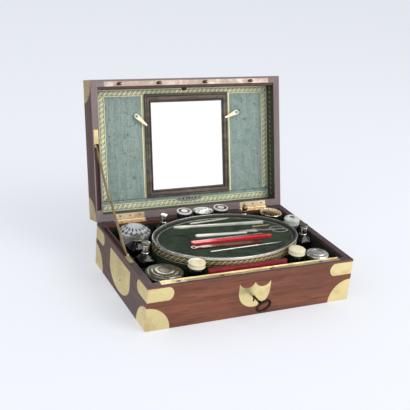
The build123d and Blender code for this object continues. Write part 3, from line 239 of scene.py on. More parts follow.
def leaf(length: float, width: float, height: float, lean: float) -> Array:
    """A tooled leaf: a lens of sine-shaped width and height, leaning by an angle and bent like a rope's strand.

    Half width = width/2 sin(pi s), height = height sin(pi s) (1 - t^2), for s along and t across. The middle
    line swings by 0.05 length sin(2 pi s), so that it is steepest halfway.
    """
    s = np.linspace(0, 1, 6)[:, None]
    t = np.linspace(-1, 1, 4)[None, :]
    swell = np.sin(np.pi * s)
    x = (s - 0.5) * length + 0 * t
    y = t * width / 2 * swell - math.copysign(0.05, lean) * length * np.sin(2 * np.pi * s)
    z = height * swell * (1 - t ** 2) - 0.02
    c, si = math.cos(lean), math.sin(lean)
    return np.stack([c * x - si * y, si * x + c * y, z], axis=-1)


def button_head(radius: float, height: float, sides: int = 20) -> Array:
    """A low domed head: r = radius cos f, z = height sin f, standing on its own plane."""
    f = np.linspace(0, np.pi / 2, 5)
    profile = [(0.0, -0.1), (radius, -0.1)] + [(radius * math.cos(a), height * math.sin(a)) for a in f]
    return lathe(profile, (0.0, 0.0), sides)


def oblong(half_long: float, half_wide: float, height: float, sides: int = 20) -> Array:
    """A low oval boss: x = half_long cos a, y = half_wide sin a, its edge rounded over."""
    a = full_turn(sides)
    share = np.array([0.0, 1.0, 1.0, 0.86, 0.0])[:, None]
    z = np.array([-0.1, -0.1, 0.5 * height, height, height])[:, None]
    return np.stack([half_long * share * np.cos(a), half_wide * share * np.sin(a), z + 0 * a], axis=-1)


def tube(line: Array, radius: float, sides: int = 6) -> Array:
    """A round wire along a closed flat curve: the section's centre follows the curve, its plane crosses it.

    Args:
        line: (steps, 3) points of a closed curve at one height.
        radius: of the wire.
        sides: of its section.

    Returns:
        The grid, round the curve along u and round the section along v.
    """
    ahead = np.roll(line, -1, axis=0) - np.roll(line, 1, axis=0)
    ahead /= np.linalg.norm(ahead, axis=1)[:, None]
    aside = np.stack([-ahead[:, 1], ahead[:, 0], np.zeros(len(line))], axis=1)
    f = full_turn(sides)[None, :, None]
    return line[:, None] + radius * (aside[:, None] * np.cos(f) + Z_WAY * np.sin(f))


def canted_post(centre: tuple[float, float], half: tuple[float, float], cut: float,
                rows: Sequence[tuple[float, float, float]], steps: int = 5) -> Array:
    """A square vessel with cut corners that turns round at its neck.

    Along an angle the square's edge lies at the nearest of its side, end and corner lines. Each row mixes that
    with a circle.

    Args:
        centre: the axis in plan.
        half: half width and half depth of the square.
        cut: how far each corner is cut back.
        rows: (share of the square, radius of the circle, height), from foot to top.
        steps: parts between two corners.

    Returns:
        The grid, rows along u and the angle along v.
    """
    hx, hy = half
    first = [math.atan2(hy - cut, hx), math.atan2(hy, hx - cut)]
    corners = first + [math.pi - first[1], math.pi - first[0]]
    corners += [a + math.pi for a in corners] + [first[0] + 2 * math.pi]
    angle = np.concatenate([np.linspace(a, b, steps, endpoint=False) for a, b in zip(corners[:-1], corners[1:])])
    c, s = np.abs(np.cos(angle)), np.abs(np.sin(angle))
    edge = np.minimum(np.minimum(hx / np.maximum(c, 1e-9), hy / np.maximum(s, 1e-9)), (hx + hy - cut) / (c + s))
    table = np.array(rows, float)
    share, radius, height = table[:, 0, None], table[:, 1, None], table[:, 2, None]
    r = share * edge + (1 - share) * radius
    return np.stack([centre[0] + r * np.cos(angle), centre[1] + r * np.sin(angle), height + 0 * angle], axis=-1)


# ------------------------------------------------------------------ shader wiring
class Wiring:
    """Adds and joins the nodes of one shader tree."""

    def __init__(self, tree: bpy.types.NodeTree) -> None:
        """Keep the tree."""
        self.tree = tree

    def put(self, socket: bpy.types.NodeSocket, value: object) -> None:
        """Join an output to a socket, or set the socket's own value."""
        if isinstance(value, bpy.types.NodeSocket):
            self.tree.links.new(value, socket)
        elif isinstance(value, tuple) and len(value) == 3 and socket.type == "RGBA":
            socket.default_value = (*value, 1.0)
        else:
            socket.default_value = value

    def feed(self, node: bpy.types.Node, **sockets: object) -> bpy.types.Node:
        """Join or set a node's inputs by name, with _ for a space."""
        for key, value in sockets.items():
            self.put(node.inputs[key.replace("_", " ")], value)
        return node

    def add(self, kind: str, *values: object, settings: Optional[dict] = None, **sockets: object) -> bpy.types.Node:
        """Add a node.

        Args:
            kind: the node's type without its ShaderNode prefix.
            *values: for its first inputs, in order.
            settings: the node's own properties.
            **sockets: input name, with _ for a space, and a value or an output to join to it.

        Returns:
            The node.
        """
        node = self.tree.nodes.new(f"ShaderNode{kind}")
        for key, value in (settings or {}).items():
            setattr(node, key, value)
        for socket, value in zip(node.inputs, values):
            self.put(socket, value)
        return self.feed(node, **sockets)

    def math(self, how: str, first: object, second: object) -> bpy.types.NodeSocket:
        """Subtract or multiply two values."""
        return self.add("Math", first, second, settings={"operation": how}).outputs[0]

    def remap(self, value: object, low: float, high: float, to_low: float = 0.0,
              to_high: float = 1.0) -> bpy.types.NodeSocket:
        """Stretch a value from one range to another, held at the ends."""
        return self.add("MapRange", settings={"interpolation_type": "SMOOTHSTEP"}, Value=value, From_Min=low,
                        From_Max=high, To_Min=to_low, To_Max=to_high).outputs[0]

    def blend(self, factor: object, first: object, second: object) -> bpy.types.NodeSocket:
        """Mix two colours."""
        node = self.add("Mix", factor, settings={"data_type": "RGBA", "clamp_factor": True})
        self.put(node.inputs[6], first)
        self.put(node.inputs[7], second)
        return node.outputs[2]

    def tint(self, base: object, mask: bpy.types.NodeSocket, most: float, colour: Colour) -> bpy.types.NodeSocket:
        """Lay a colour over a base through a mask, at most so much of it."""
        return self.blend(self.remap(mask, 0.0, 1.0, 0.0, most), base, colour)

    def either(self, factor: object, first: bpy.types.NodeSocket,
               second: bpy.types.NodeSocket) -> bpy.types.NodeSocket:
        """Mix two shaders."""
        return self.add("MixShader", factor, first, second).outputs[0]

    def bump(self, strength: float, distance: float, height: bpy.types.NodeSocket,
             **under: bpy.types.NodeSocket) -> bpy.types.NodeSocket:
        """A bump from a height, on the plain normal or on the one given as Normal."""
        return self.add("Bump", Strength=strength, Distance=distance, Height=height, **under).outputs[0]

    def place(self, turned: bool, scale: tuple[float, float, float] = (1.0, 1.0, 1.0)) -> bpy.types.NodeSocket:
        """Object coordinates, stretched, and on the lid turned back to its shut place first."""
        vector = self.add("TexCoord").outputs["Object"]
        if turned:
            vector = self.add("Mapping", Vector=vector, Rotation=(LID_OPEN, 0.0, 0.0)).outputs[0]
        return self.add("Mapping", Vector=vector, Scale=scale).outputs[0]

    def shared(self, group: bpy.types.NodeTree, **sockets: object) -> bpy.types.Node:
        """Place a node group with its own values."""
        node = self.tree.nodes.new("ShaderNodeGroup")
        node.node_tree = group
        return self.feed(node, **sockets)


def fresh(owner: bpy.types.ID) -> Wiring:
    """Empty the shader tree of a material or a world, and hand back its wiring."""
    owner.use_nodes = True
    owner.node_tree.nodes.clear()
    return Wiring(owner.node_tree)


def new_group(name: str, scale: float, outputs: Sequence[str], **more: float) -> tuple:
    """Start a shader node group that takes a Vector, a Scale and perhaps more numbers.

    Args:
        name: the group's name.
        scale: what its Scale is when none is given.
        outputs: names of the numbers that it gives.
        **more: names and values of further inputs.

    Returns:
        The group, its wiring, the outputs of its input node, and its output node.
    """
    group = bpy.data.node_groups.new(name, "ShaderNodeTree")
    group.interface.new_socket("Vector", in_out="INPUT", socket_type="NodeSocketVector")
    for key, value in {"Scale": scale, **more}.items():
        group.interface.new_socket(key, in_out="INPUT", socket_type="NodeSocketFloat").default_value = value
    for key in outputs:
        group.interface.new_socket(key, in_out="OUTPUT", socket_type="NodeSocketFloat")
    start, end = group.nodes.new("NodeGroupInput"), group.nodes.new("NodeGroupOutput")
    return group, Wiring(group), start.outputs, end


def make_grain() -> bpy.types.NodeTree:
    """Wood grain: bent, stretched noise for the figure, and finer noise for the pores."""
    group, w, given, end = new_group("Grain", 40.0, ("Figure", "Pores"))
    drift = w.add("TexNoise", Vector=given["Vector"], Scale=6.0, Detail=2.0)
    bent = w.add("VectorMath", drift.outputs["Color"], (0.02, 0.02, 0.02), given["Vector"],
                 settings={"operation": "MULTIPLY_ADD"}).outputs[0]
    figure = w.add("TexNoise", Vector=bent, Scale=given["Scale"], Detail=6.0, Roughness=0.62)
    pores = w.add("TexNoise", Vector=bent, Scale=w.math("MULTIPLY", given["Scale"], 7.0), Detail=3.0)
    w.feed(end, Figure=w.remap(figure.outputs["Fac"], 0.3, 0.7), Pores=w.remap(pores.outputs["Fac"], 0.5, 0.68))
    return group


def make_wear() -> bpy.types.NodeTree:
    """Patches of wear or dust: coarse noise broken by fine noise, cut at a level set by Amount."""
    group, w, given, end = new_group("Wear", 30.0, ("Mask",), Amount=0.4)
    coarse = w.add("TexNoise", Vector=given["Vector"], Scale=given["Scale"], Detail=8.0, Roughness=0.7)
    above = w.math("SUBTRACT", coarse.outputs["Fac"], w.math("SUBTRACT", 0.9, given["Amount"]))
    w.feed(end, Mask=w.remap(above, -0.08, 0.12))
    return group


def make_mottle() -> bpy.types.NodeTree:
    """Soft mottling at two sizes, for leather, velvet, ivory and tarnish."""
    group, w, given, end = new_group("Mottle", 25.0, ("Mask", "Fine"))
    broad = w.add("TexNoise", Vector=given["Vector"], Scale=given["Scale"], Detail=4.0, Roughness=0.6)
    fine = w.add("TexNoise", Vector=given["Vector"], Scale=w.math("MULTIPLY", given["Scale"], 9.0), Detail=5.0)
    w.feed(end, Mask=w.remap(broad.outputs["Fac"], 0.32, 0.68), Fine=w.remap(fine.outputs["Fac"], 0.35, 0.65))
    return group


GRAIN = make_grain()
WEAR = make_wear()
MOTTLE = make_mottle()


# ------------------------------------------------------------------ finishes
def dim(colour: Colour, share: float) -> Colour:
    """A share of a colour."""
    return tuple(share * part for part in colour)


@dataclass(frozen=True)
class Finish:
    """A surface finish and the slot of what wears it. The classes below say how each kind is wired."""

    name: str
    colour: Colour
    second: Colour
    rough: float = 0.4
    slot: str = field(default="", kw_only=True)

    def wire(self, w: Wiring, shader: bpy.types.Node) -> None:
        """Wire this finish into its shader."""
        raise NotImplementedError

    def material(self) -> bpy.types.Material:
        """The material, made the first time that it is asked for."""
        label = f"look_{self.name}"
        found = bpy.data.materials.get(label)
        if found is not None:
            return found
        made = bpy.data.materials.new(label)
        w = fresh(made)
        shader = w.add("BsdfPrincipled", Roughness=self.rough)
        self.wire(w, shader)
        w.add("OutputMaterial", Surface=shader.outputs[0])
        return made


@dataclass(frozen=True)
class Wood(Finish):
    """Old polished wood: figure along the board, open pores, dust, and a band of another tone at the rims."""

    along: Along = Along.X
    lid: bool = False
    scale: float = 60.0
    dust: Colour = (0.30, 0.24, 0.21)
    dusty: float = 0.22
    coat: float = 0.06
    rim: Optional[float] = None
    rim_tone: Colour = (0.085, 0.050, 0.050)
    slot: str = field(default="dark_wood", kw_only=True)

    def wire(self, w: Wiring, shader: bpy.types.Node) -> None:
        """Wire this finish into its shader."""
        vector, even = w.place(self.lid, self.along.value), w.place(self.lid)
        grain = w.shared(GRAIN, Vector=vector, Scale=self.scale).outputs
        wear = w.shared(WEAR, Vector=even, Scale=22.0, Amount=self.dusty).outputs["Mask"]
        mottle = w.shared(MOTTLE, Vector=vector, Scale=self.scale * 0.35).outputs["Mask"]
        base = w.tint(w.blend(grain["Figure"], self.colour, self.second), mottle, 0.45, self.second)
        base = w.tint(base, grain["Pores"], 0.6, dim(self.colour, 0.35))
        if self.rim is not None:
            # At the rim the colour goes over to the rim tone: darker than the wood on the case, paler and greyer on
            # the lid.
            rim_band = w.blend(grain["Figure"], self.rim_tone, dim(self.rim_tone, 0.62))
            level = w.add("SeparateXYZ", Vector=even).outputs["Z"]
            side = MM if self.lid else -MM
            base = w.blend(w.remap(level, self.rim + 1.0 * side, self.rim + 0.5 * side), base, rim_band)
        base = w.tint(base, wear, 0.4, self.dust)
        w.feed(shader, Base_Color=base, Roughness=w.remap(wear, 0.0, 1.0, self.rough, self.rough + 0.2),
               Specular_IOR_Level=0.35, Coat_Weight=self.coat, Coat_Roughness=0.22,
               Normal=w.bump(0.15, 0.0004, grain["Pores"]))


@dataclass(frozen=True)
class Metal(Finish):
    """Metal with tarnish in patches and fine rubbing marks."""

    along: Along = Along.X
    lid: bool = False
    tarnish: float = 0.35
    scale: float = 45.0
    slot: str = field(default="brass", kw_only=True)

    def wire(self, w: Wiring, shader: bpy.types.Node) -> None:
        """Wire this finish into its shader."""
        even = w.place(self.lid)
        wear = w.shared(WEAR, Vector=even, Scale=self.scale, Amount=self.tarnish).outputs["Mask"]
        rub = w.shared(GRAIN, Vector=w.place(self.lid, self.along.value), Scale=420.0).outputs["Figure"]
        mottle = w.shared(MOTTLE, Vector=even, Scale=30.0).outputs["Mask"]
        base = w.tint(w.blend(wear, self.colour, self.second), mottle, 0.35, dim(self.colour, 0.82))
        w.feed(shader, Base_Color=base, Metallic=1.0, Normal=w.bump(0.06, 0.0002, rub),
               Roughness=w.remap(mottle, 0.0, 1.0, self.rough, self.rough + 0.14))


@dataclass(frozen=True)
class Leather(Finish):
    """Worn leather: two shades in mottles, streaks down the skin, scuffs, a fine grain and small dark stains."""

    lid: bool = False
    scuff: Colour = (0.45, 0.52, 0.46)
    scuffed: float = 0.38
    stain: Colour = (0.03, 0.05, 0.04)
    scale: float = 26.0
    streaks: float = 0.0
    spotted: float = 0.17
    slot: str = field(default="leather", kw_only=True)

    def wire(self, w: Wiring, shader: bpy.types.Node) -> None:
        """Wire this finish into its shader."""
        even = w.place(self.lid)
        mottle = w.shared(MOTTLE, Vector=even, Scale=self.scale).outputs
        wear = w.shared(WEAR, Vector=even, Scale=self.scale * 2.6, Amount=self.scuffed).outputs["Mask"]
        spots = w.shared(WEAR, Vector=even, Scale=self.scale * 1.7, Amount=self.spotted).outputs["Mask"]
        cells = w.add("TexVoronoi", settings={"feature": "DISTANCE_TO_EDGE"}, Vector=even, Scale=900.0)
        base = w.tint(w.blend(mottle["Mask"], self.colour, self.second), wear, 0.6, self.scuff)
        normal = w.bump(0.35, 0.0003, cells.outputs["Distance"])
        normal = w.bump(0.2, 0.0008, mottle["Fine"], Normal=normal)
        if self.streaks > 0.0:
            run = w.shared(GRAIN, Vector=w.place(self.lid, (1.0, 0.10, 1.0)), Scale=150.0).outputs
            base = w.blend(w.remap(run["Figure"], 0.4, 1.0, 0.0, self.streaks), base, self.scuff)
            base = w.tint(base, run["Pores"], 0.4, dim(self.colour, 0.5))
            normal = w.bump(0.5, 0.0016, run["Figure"], Normal=normal)
        base = w.tint(base, mottle["Fine"], 0.3, dim(self.colour, 0.6))
        w.feed(shader, Base_Color=w.blend(spots, base, self.stain), Normal=normal,
               Roughness=w.remap(mottle["Fine"], 0.0, 1.0, self.rough, self.rough + 0.15))


@dataclass(frozen=True)
class Velvet(Finish):
    """Silk velvet, rubbed in patches, with its pile catching light at the edges."""

    sheen: float = 0.5
    slot: str = field(default="velvet", kw_only=True)

    def wire(self, w: Wiring, shader: bpy.types.Node) -> None:
        """Wire this finish into its shader."""
        even = w.place(False)
        mottle = w.shared(MOTTLE, Vector=even, Scale=38.0).outputs["Mask"]
        pile = w.add("TexNoise", Vector=even, Scale=2600.0, Detail=2.0).outputs["Fac"]
        base = w.blend(mottle, self.colour, self.second)
        base = w.blend(w.remap(pile, 0.3, 0.7, 0.0, 0.35), base, dim(self.colour, 0.5))
        w.feed(shader, Base_Color=base, Sheen_Weight=self.sheen, Sheen_Roughness=0.4, Sheen_Tint=self.second,
               Normal=w.bump(0.5, 0.0004, pile))


@dataclass(frozen=True)
class Glass(Finish):
    """Glass tinted by its colour, with faint waviness. Second is the colour of the film inside it."""

    clear: float = 1.0
    slot: str = field(default="cut_glass", kw_only=True)

    def wire(self, w: Wiring, shader: bpy.types.Node) -> None:
        """Wire this finish into its shader."""
        even = w.place(False)
        waves = w.add("TexNoise", Vector=even, Scale=60.0, Detail=1.0)
        film = w.shared(WEAR, Vector=even, Scale=70.0, Amount=0.3)
        w.feed(shader, Base_Color=w.blend(film.outputs["Mask"], self.colour, self.second),
               Transmission_Weight=self.clear, IOR=1.5, Normal=w.bump(0.08, 0.0006, waves.outputs["Fac"]))


@dataclass(frozen=True)
class Polished(Finish):
    """Ivory, horn, glaze or tortoiseshell: a soft body colour with streaks under a polish."""

    scale: float = 60.0
    depth: float = 0.0
    coat: float = 0.4
    slot: str = field(default="ivory", kw_only=True)

    def wire(self, w: Wiring, shader: bpy.types.Node) -> None:
        """Wire this finish into its shader."""
        streaks = w.shared(GRAIN, Vector=w.place(False, Along.X.value), Scale=self.scale)
        mottle = w.shared(MOTTLE, Vector=w.place(False), Scale=self.scale)
        mask = w.math("MULTIPLY", streaks.outputs["Figure"], mottle.outputs["Mask"])
        w.feed(shader, Base_Color=w.blend(w.remap(mask, 0.1, 0.6), self.colour, self.second),
               Subsurface_Weight=self.depth, Subsurface_Scale=0.002, Coat_Weight=self.coat, Coat_Roughness=0.12,
               Normal=w.bump(0.05, 0.0002, mottle.outputs["Fine"]))


@dataclass(frozen=True)
class MirrorGlass(Finish):
    """Silvered glass: a bright mirror with faint spots."""

    def wire(self, w: Wiring, shader: bpy.types.Node) -> None:
        """Wire this finish into its shader."""
        wear = w.shared(WEAR, Vector=w.place(True), Scale=90.0, Amount=0.16)
        w.feed(shader, Base_Color=w.blend(wear.outputs["Mask"], self.colour, self.second), Metallic=1.0)


# Heights of the rims as Wood sees them. The lid's are turned back about the origin, not about the pins.
CASE_RIM = 78.5 * MM
LID_RIM = (HINGE_Y * math.sin(LID_OPEN) + HINGE_Z * math.cos(LID_OPEN) + 0.25) * MM

MAHOGANY = Wood("mahogany", (0.315, 0.105, 0.053), (0.145, 0.045, 0.024), 0.42, Along.X, rim=CASE_RIM)
# A darker copy of the front's mahogany: painted shade of the box's sides. The end boards also carry heavier, greyer
# dust.
SHADED_MAHOGANY_END = Wood("mahogany_end", (0.150, 0.072, 0.055), (0.080, 0.038, 0.030), 0.42, Along.Y, rim=CASE_RIM,
                    dusty=0.34, dust=(0.22, 0.19, 0.18))
LID_WOOD = Wood("lid_mahogany", (0.155, 0.068, 0.055), (0.080, 0.034, 0.028), 0.42, Along.X, True, rim=LID_RIM,
                rim_tone=(0.310, 0.235, 0.225))
LID_WOOD_END = Wood("lid_mahogany_end", (0.145, 0.072, 0.062), (0.078, 0.038, 0.034), 0.42, Along.Y, True,
                    rim=LID_RIM, rim_tone=(0.310, 0.235, 0.225))
DARK_WOOD = Wood("dark_wood", (0.045, 0.022, 0.015), (0.022, 0.012, 0.009), 0.45, Along.X)
FRAME_WOOD = Wood("frame_wood", (0.185, 0.140, 0.100), (0.070, 0.050, 0.036), 0.4, Along.X, True, 90.0,
                  (0.32, 0.27, 0.22), 0.36)
GROOVE = Wood("frame_groove", (0.040, 0.028, 0.020), (0.020, 0.014, 0.010), 0.5, Along.X, True, 90.0)
BRASS = Metal("brass", (0.97, 0.83, 0.44), (0.80, 0.63, 0.30), 0.26)
LID_BRASS = Metal("lid_brass", (0.86, 0.70, 0.38), (0.62, 0.45, 0.22), 0.28, Along.X, True)
HINGE_BRASS = Metal("hinge_brass", (0.90, 0.72, 0.48), (0.66, 0.48, 0.30), 0.38, Along.X, True)
CASE_HINGE_BRASS = Metal("case_hinge_brass", (0.90, 0.72, 0.48), (0.66, 0.48, 0.30), 0.38)
STRIP_BRASS = Metal("strip_brass", (0.92, 0.82, 0.56), (0.72, 0.60, 0.36), 0.34)
PALE_BRASS = Metal("pale_brass", (0.90, 0.83, 0.62), (0.64, 0.54, 0.34), 0.34, Along.Y, True, 0.3)
OLD_BRASS = Metal("old_brass", (0.56, 0.43, 0.20), (0.36, 0.27, 0.13), 0.34, Along.Z, tarnish=0.42)
WORN_BRASS = Metal("worn_brass", (0.73, 0.64, 0.55), (0.46, 0.35, 0.29), 0.42, Along.X, True, 0.46)
BRONZE = Metal("dark_bronze", (0.085, 0.060, 0.050), (0.040, 0.028, 0.024), 0.45, Along.X, True, slot="steel_dark")
GOLD_LEAF = Metal("gold_leaf", (0.98, 0.94, 0.62), (0.80, 0.73, 0.42), 0.6, Along.X, True, 0.28, 160.0)
CASE_GOLD = Metal("case_gold_leaf", (0.95, 0.80, 0.42), (0.66, 0.50, 0.22), 0.5, Along.X, False, 0.34, 160.0)
OLD_GOLD = Metal("old_gold_leaf", (0.62, 0.52, 0.24), (0.30, 0.26, 0.12), 0.5, Along.X, True, 0.42, 160.0)
COLLAR = Metal("collar_silver", (0.97, 0.97, 0.95), (0.66, 0.64, 0.60), 0.12, tarnish=0.24, slot="silver")
BRIGHT_STEEL = Metal("bright_steel", (0.92, 0.92, 0.90), (0.52, 0.49, 0.45), 0.3, tarnish=0.3)
PEWTER = Metal("pewter", (0.60, 0.62, 0.56), (0.30, 0.32, 0.28), 0.5, Along.X, True, 0.3, 120.0, slot="silver")
SILVER = Metal("silver", (0.78, 0.77, 0.73), (0.46, 0.43, 0.37), 0.16, tarnish=0.34, slot="silver")
OLD_SILVER = Metal("old_silver", (0.47, 0.45, 0.38), (0.20, 0.18, 0.13), 0.22, tarnish=0.46, scale=60.0,
                   slot="silver")
SILVER_GILT = Metal("silver_gilt", (0.92, 0.80, 0.64), (0.58, 0.42, 0.26), 0.14, tarnish=0.34, slot="silver")
STEEL = Metal("steel", (0.66, 0.66, 0.64), (0.32, 0.29, 0.26), 0.24, tarnish=0.34, slot="steel")
DARK_STEEL = Metal("dark_steel", (0.14, 0.085, 0.065), (0.06, 0.035, 0.026), 0.38, tarnish=0.45, scale=120.0)
SMALL_LID = Metal("small_lid_silver", (0.85, 0.85, 0.80), (0.50, 0.48, 0.42), 0.2, tarnish=0.38, scale=60.0,
                  slot="silver")
PALE_BEAD = Metal("pale_bead", (0.50, 0.50, 0.42), (0.22, 0.22, 0.17), 0.3, tarnish=0.42, slot="silver")
CASE_PIN = Metal("gilt_pin", (0.88, 0.68, 0.32), (0.58, 0.42, 0.20), 0.24)
GREEN_LEATHER = Leather("green_leather", (0.250, 0.358, 0.300), (0.350, 0.450, 0.385), 0.5, True, (0.46, 0.52, 0.48),
                        0.34, (0.018, 0.060, 0.050), 60.0, 0.55, 0.27)
DARK_LEATHER = Leather("dark_green_leather", (0.012, 0.030, 0.022), (0.020, 0.044, 0.032), 0.42, False,
                       (0.05, 0.08, 0.06), 0.25, slot="oval_leather")
OLIVE_LEATHER = Leather("olive_leather", (0.045, 0.047, 0.032), (0.075, 0.077, 0.055), 0.46, False,
                        (0.15, 0.15, 0.11), 0.30, slot="oval_leather")
RED_LEATHER = Leather("red_leather", (0.26, 0.012, 0.022), (0.34, 0.020, 0.035), 0.35, False, (0.45, 0.06, 0.08),
                      0.25, (0.10, 0.005, 0.01))
# Near-black for gaps, as painted shade: behind the hinge on the back boards, and in the comb case's slit.
GAP_SHADE = Leather("black_cloth", (0.010, 0.008, 0.009), (0.016, 0.012, 0.012), 0.6, False, (0.03, 0.02, 0.02),
                      0.2, slot="velvet")
LID_LINING = Leather("lid_lining_leather", (0.030, 0.042, 0.026), (0.055, 0.068, 0.042), 0.5, True,
                     (0.09, 0.10, 0.07), 0.25)
VELVET = Velvet("green_velvet", (0.012, 0.025, 0.010), (0.038, 0.060, 0.030), 1.0, 0.35)
LINING = Velvet("dark_lining", (0.016, 0.022, 0.014), (0.040, 0.048, 0.026), 1.0)
# Painted shade: the grey tint darkens the glass bodies as the dark wells seen through them do.
GLASS = Glass("cut_glass", (0.62, 0.67, 0.68), (0.50, 0.54, 0.55), 0.02)
# Painted reflection: with only 0.35 of it clear, this glass is milky white, standing for the bright sparkle of the
# fluted jar's facets.
BRIGHT_GLASS = Glass("bright_cut_glass", (0.93, 0.94, 0.94), (0.66, 0.68, 0.68), 0.02, 0.35)
# Painted shade: a darker grey tint for the square bottles and the white jar, standing for the dark wells seen through
# them.
SHADED_GLASS = Glass("dark_cut_glass", (0.42, 0.46, 0.50), (0.30, 0.32, 0.34), 0.02)
MIRROR = MirrorGlass("mirror", (0.97, 0.97, 0.97), (0.72, 0.71, 0.68), 0.02)
IVORY = Polished("ivory", (0.89, 0.81, 0.56), (0.74, 0.63, 0.38), 0.34, depth=0.15)
IVORY_OLD = Polished("old_ivory", (0.72, 0.71, 0.60), (0.52, 0.50, 0.38), 0.34, depth=0.1)
BONE = Polished("bone", (0.80, 0.79, 0.72), (0.62, 0.60, 0.50), 0.3, depth=0.1)
RED_HORN = Polished("red_horn", (0.82, 0.020, 0.035), (0.60, 0.008, 0.020), 0.28)
TORTOISE = Polished("tortoiseshell", (0.20, 0.040, 0.015), (0.022, 0.008, 0.006), 0.2, scale=110.0, coat=0.8)
# Painted dark reflections: the dark leaves on the fluted jar's domed facets.
FACET_DARK_REFLECTION = Polished("cut_shade", (0.060, 0.062, 0.060), (0.16, 0.165, 0.16), 0.2, coat=0.3, slot="cut_glass")
WHITE = Polished("white_glaze", (0.80, 0.82, 0.76), (0.56, 0.58, 0.52), 0.28, slot="white_glaze")
# Black of the ring boxes' bodies: the black ring on their tops, and painted shade on their sides under the lids' lip.
RING_BOX_BLACK = Polished("ebony", (0.010, 0.008, 0.008), (0.02, 0.016, 0.014), 0.5, coat=0.0, slot="steel_dark")


def dress(thing: bpy.types.Object, finish: Finish) -> bpy.types.Object:
    """Give a piece its finish and hand it back."""
    thing.data.materials.clear()
    thing.data.materials.append(finish.material())
    return thing


def put(name: str, grid: Array, finish: Finish, body: str, nodes: Sequence[str] = (), round_v: bool = True,
        **how: bool) -> None:
    """Make a piece from its grid, dress it, hang it on its body and hide the nodes that it stands for.

    Args:
        name: of the piece.
        grid: its points, as skin takes them.
        finish: its finish.
        body: that it rides on.
        nodes: that it stands for.
        round_v: whether it closes across, as most pieces do.
        **how: skin's other settings.
    """
    thing = dress(skin(name, grid, round_v=round_v, **how), finish)
    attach(thing, body)
    if nodes:
        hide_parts(*nodes)
    LOG.info("fitted %s on %s", name, body)


def put_sheets(name: str, grid: Array, finish: Finish, body: str) -> None:
    """Put down open sheets, such as gilt leaves, whose own side is already outward."""
    put(name, grid, finish, body, round_v=False, turn_out=False)


# ------------------------------------------------------------------ sub-assemblies
def screws(name: str, body: str, places: Sequence[tuple[float, float, float]], radius: float, lid: bool,
           finish: Finish) -> None:
    """Low domed screw heads with their slots, on a rim that faces up or, on the shut lid, down.

    Args:
        name: of the heads; the slots add a word to it.
        body: what they ride on.
        places: centres on the surface, in the shut box's millimetres.
        radius: of the heads.
        lid: they are on the lid, so they face down when it is shut.
        finish: of the heads.
    """
    spots, facing = np.array(places, float), -1.0 if lid else 1.0
    heads = placed(button_head(radius, 0.17), spots, X_WAY, facing * Y_WAY)
    along, across = ring_ways(np.radians(37.0 * np.arange(len(spots))))
    slots = placed(slab(-radius * 0.8, radius * 0.8, -0.22, 0.22, 0.0, 0.19), spots, along, facing * across)
    if lid:
        heads, slots = on_lid(heads), on_lid(slots)
    put(name, heads, finish, body)
    put(name + "_slots", slots, BRONZE, body, smooth=False)


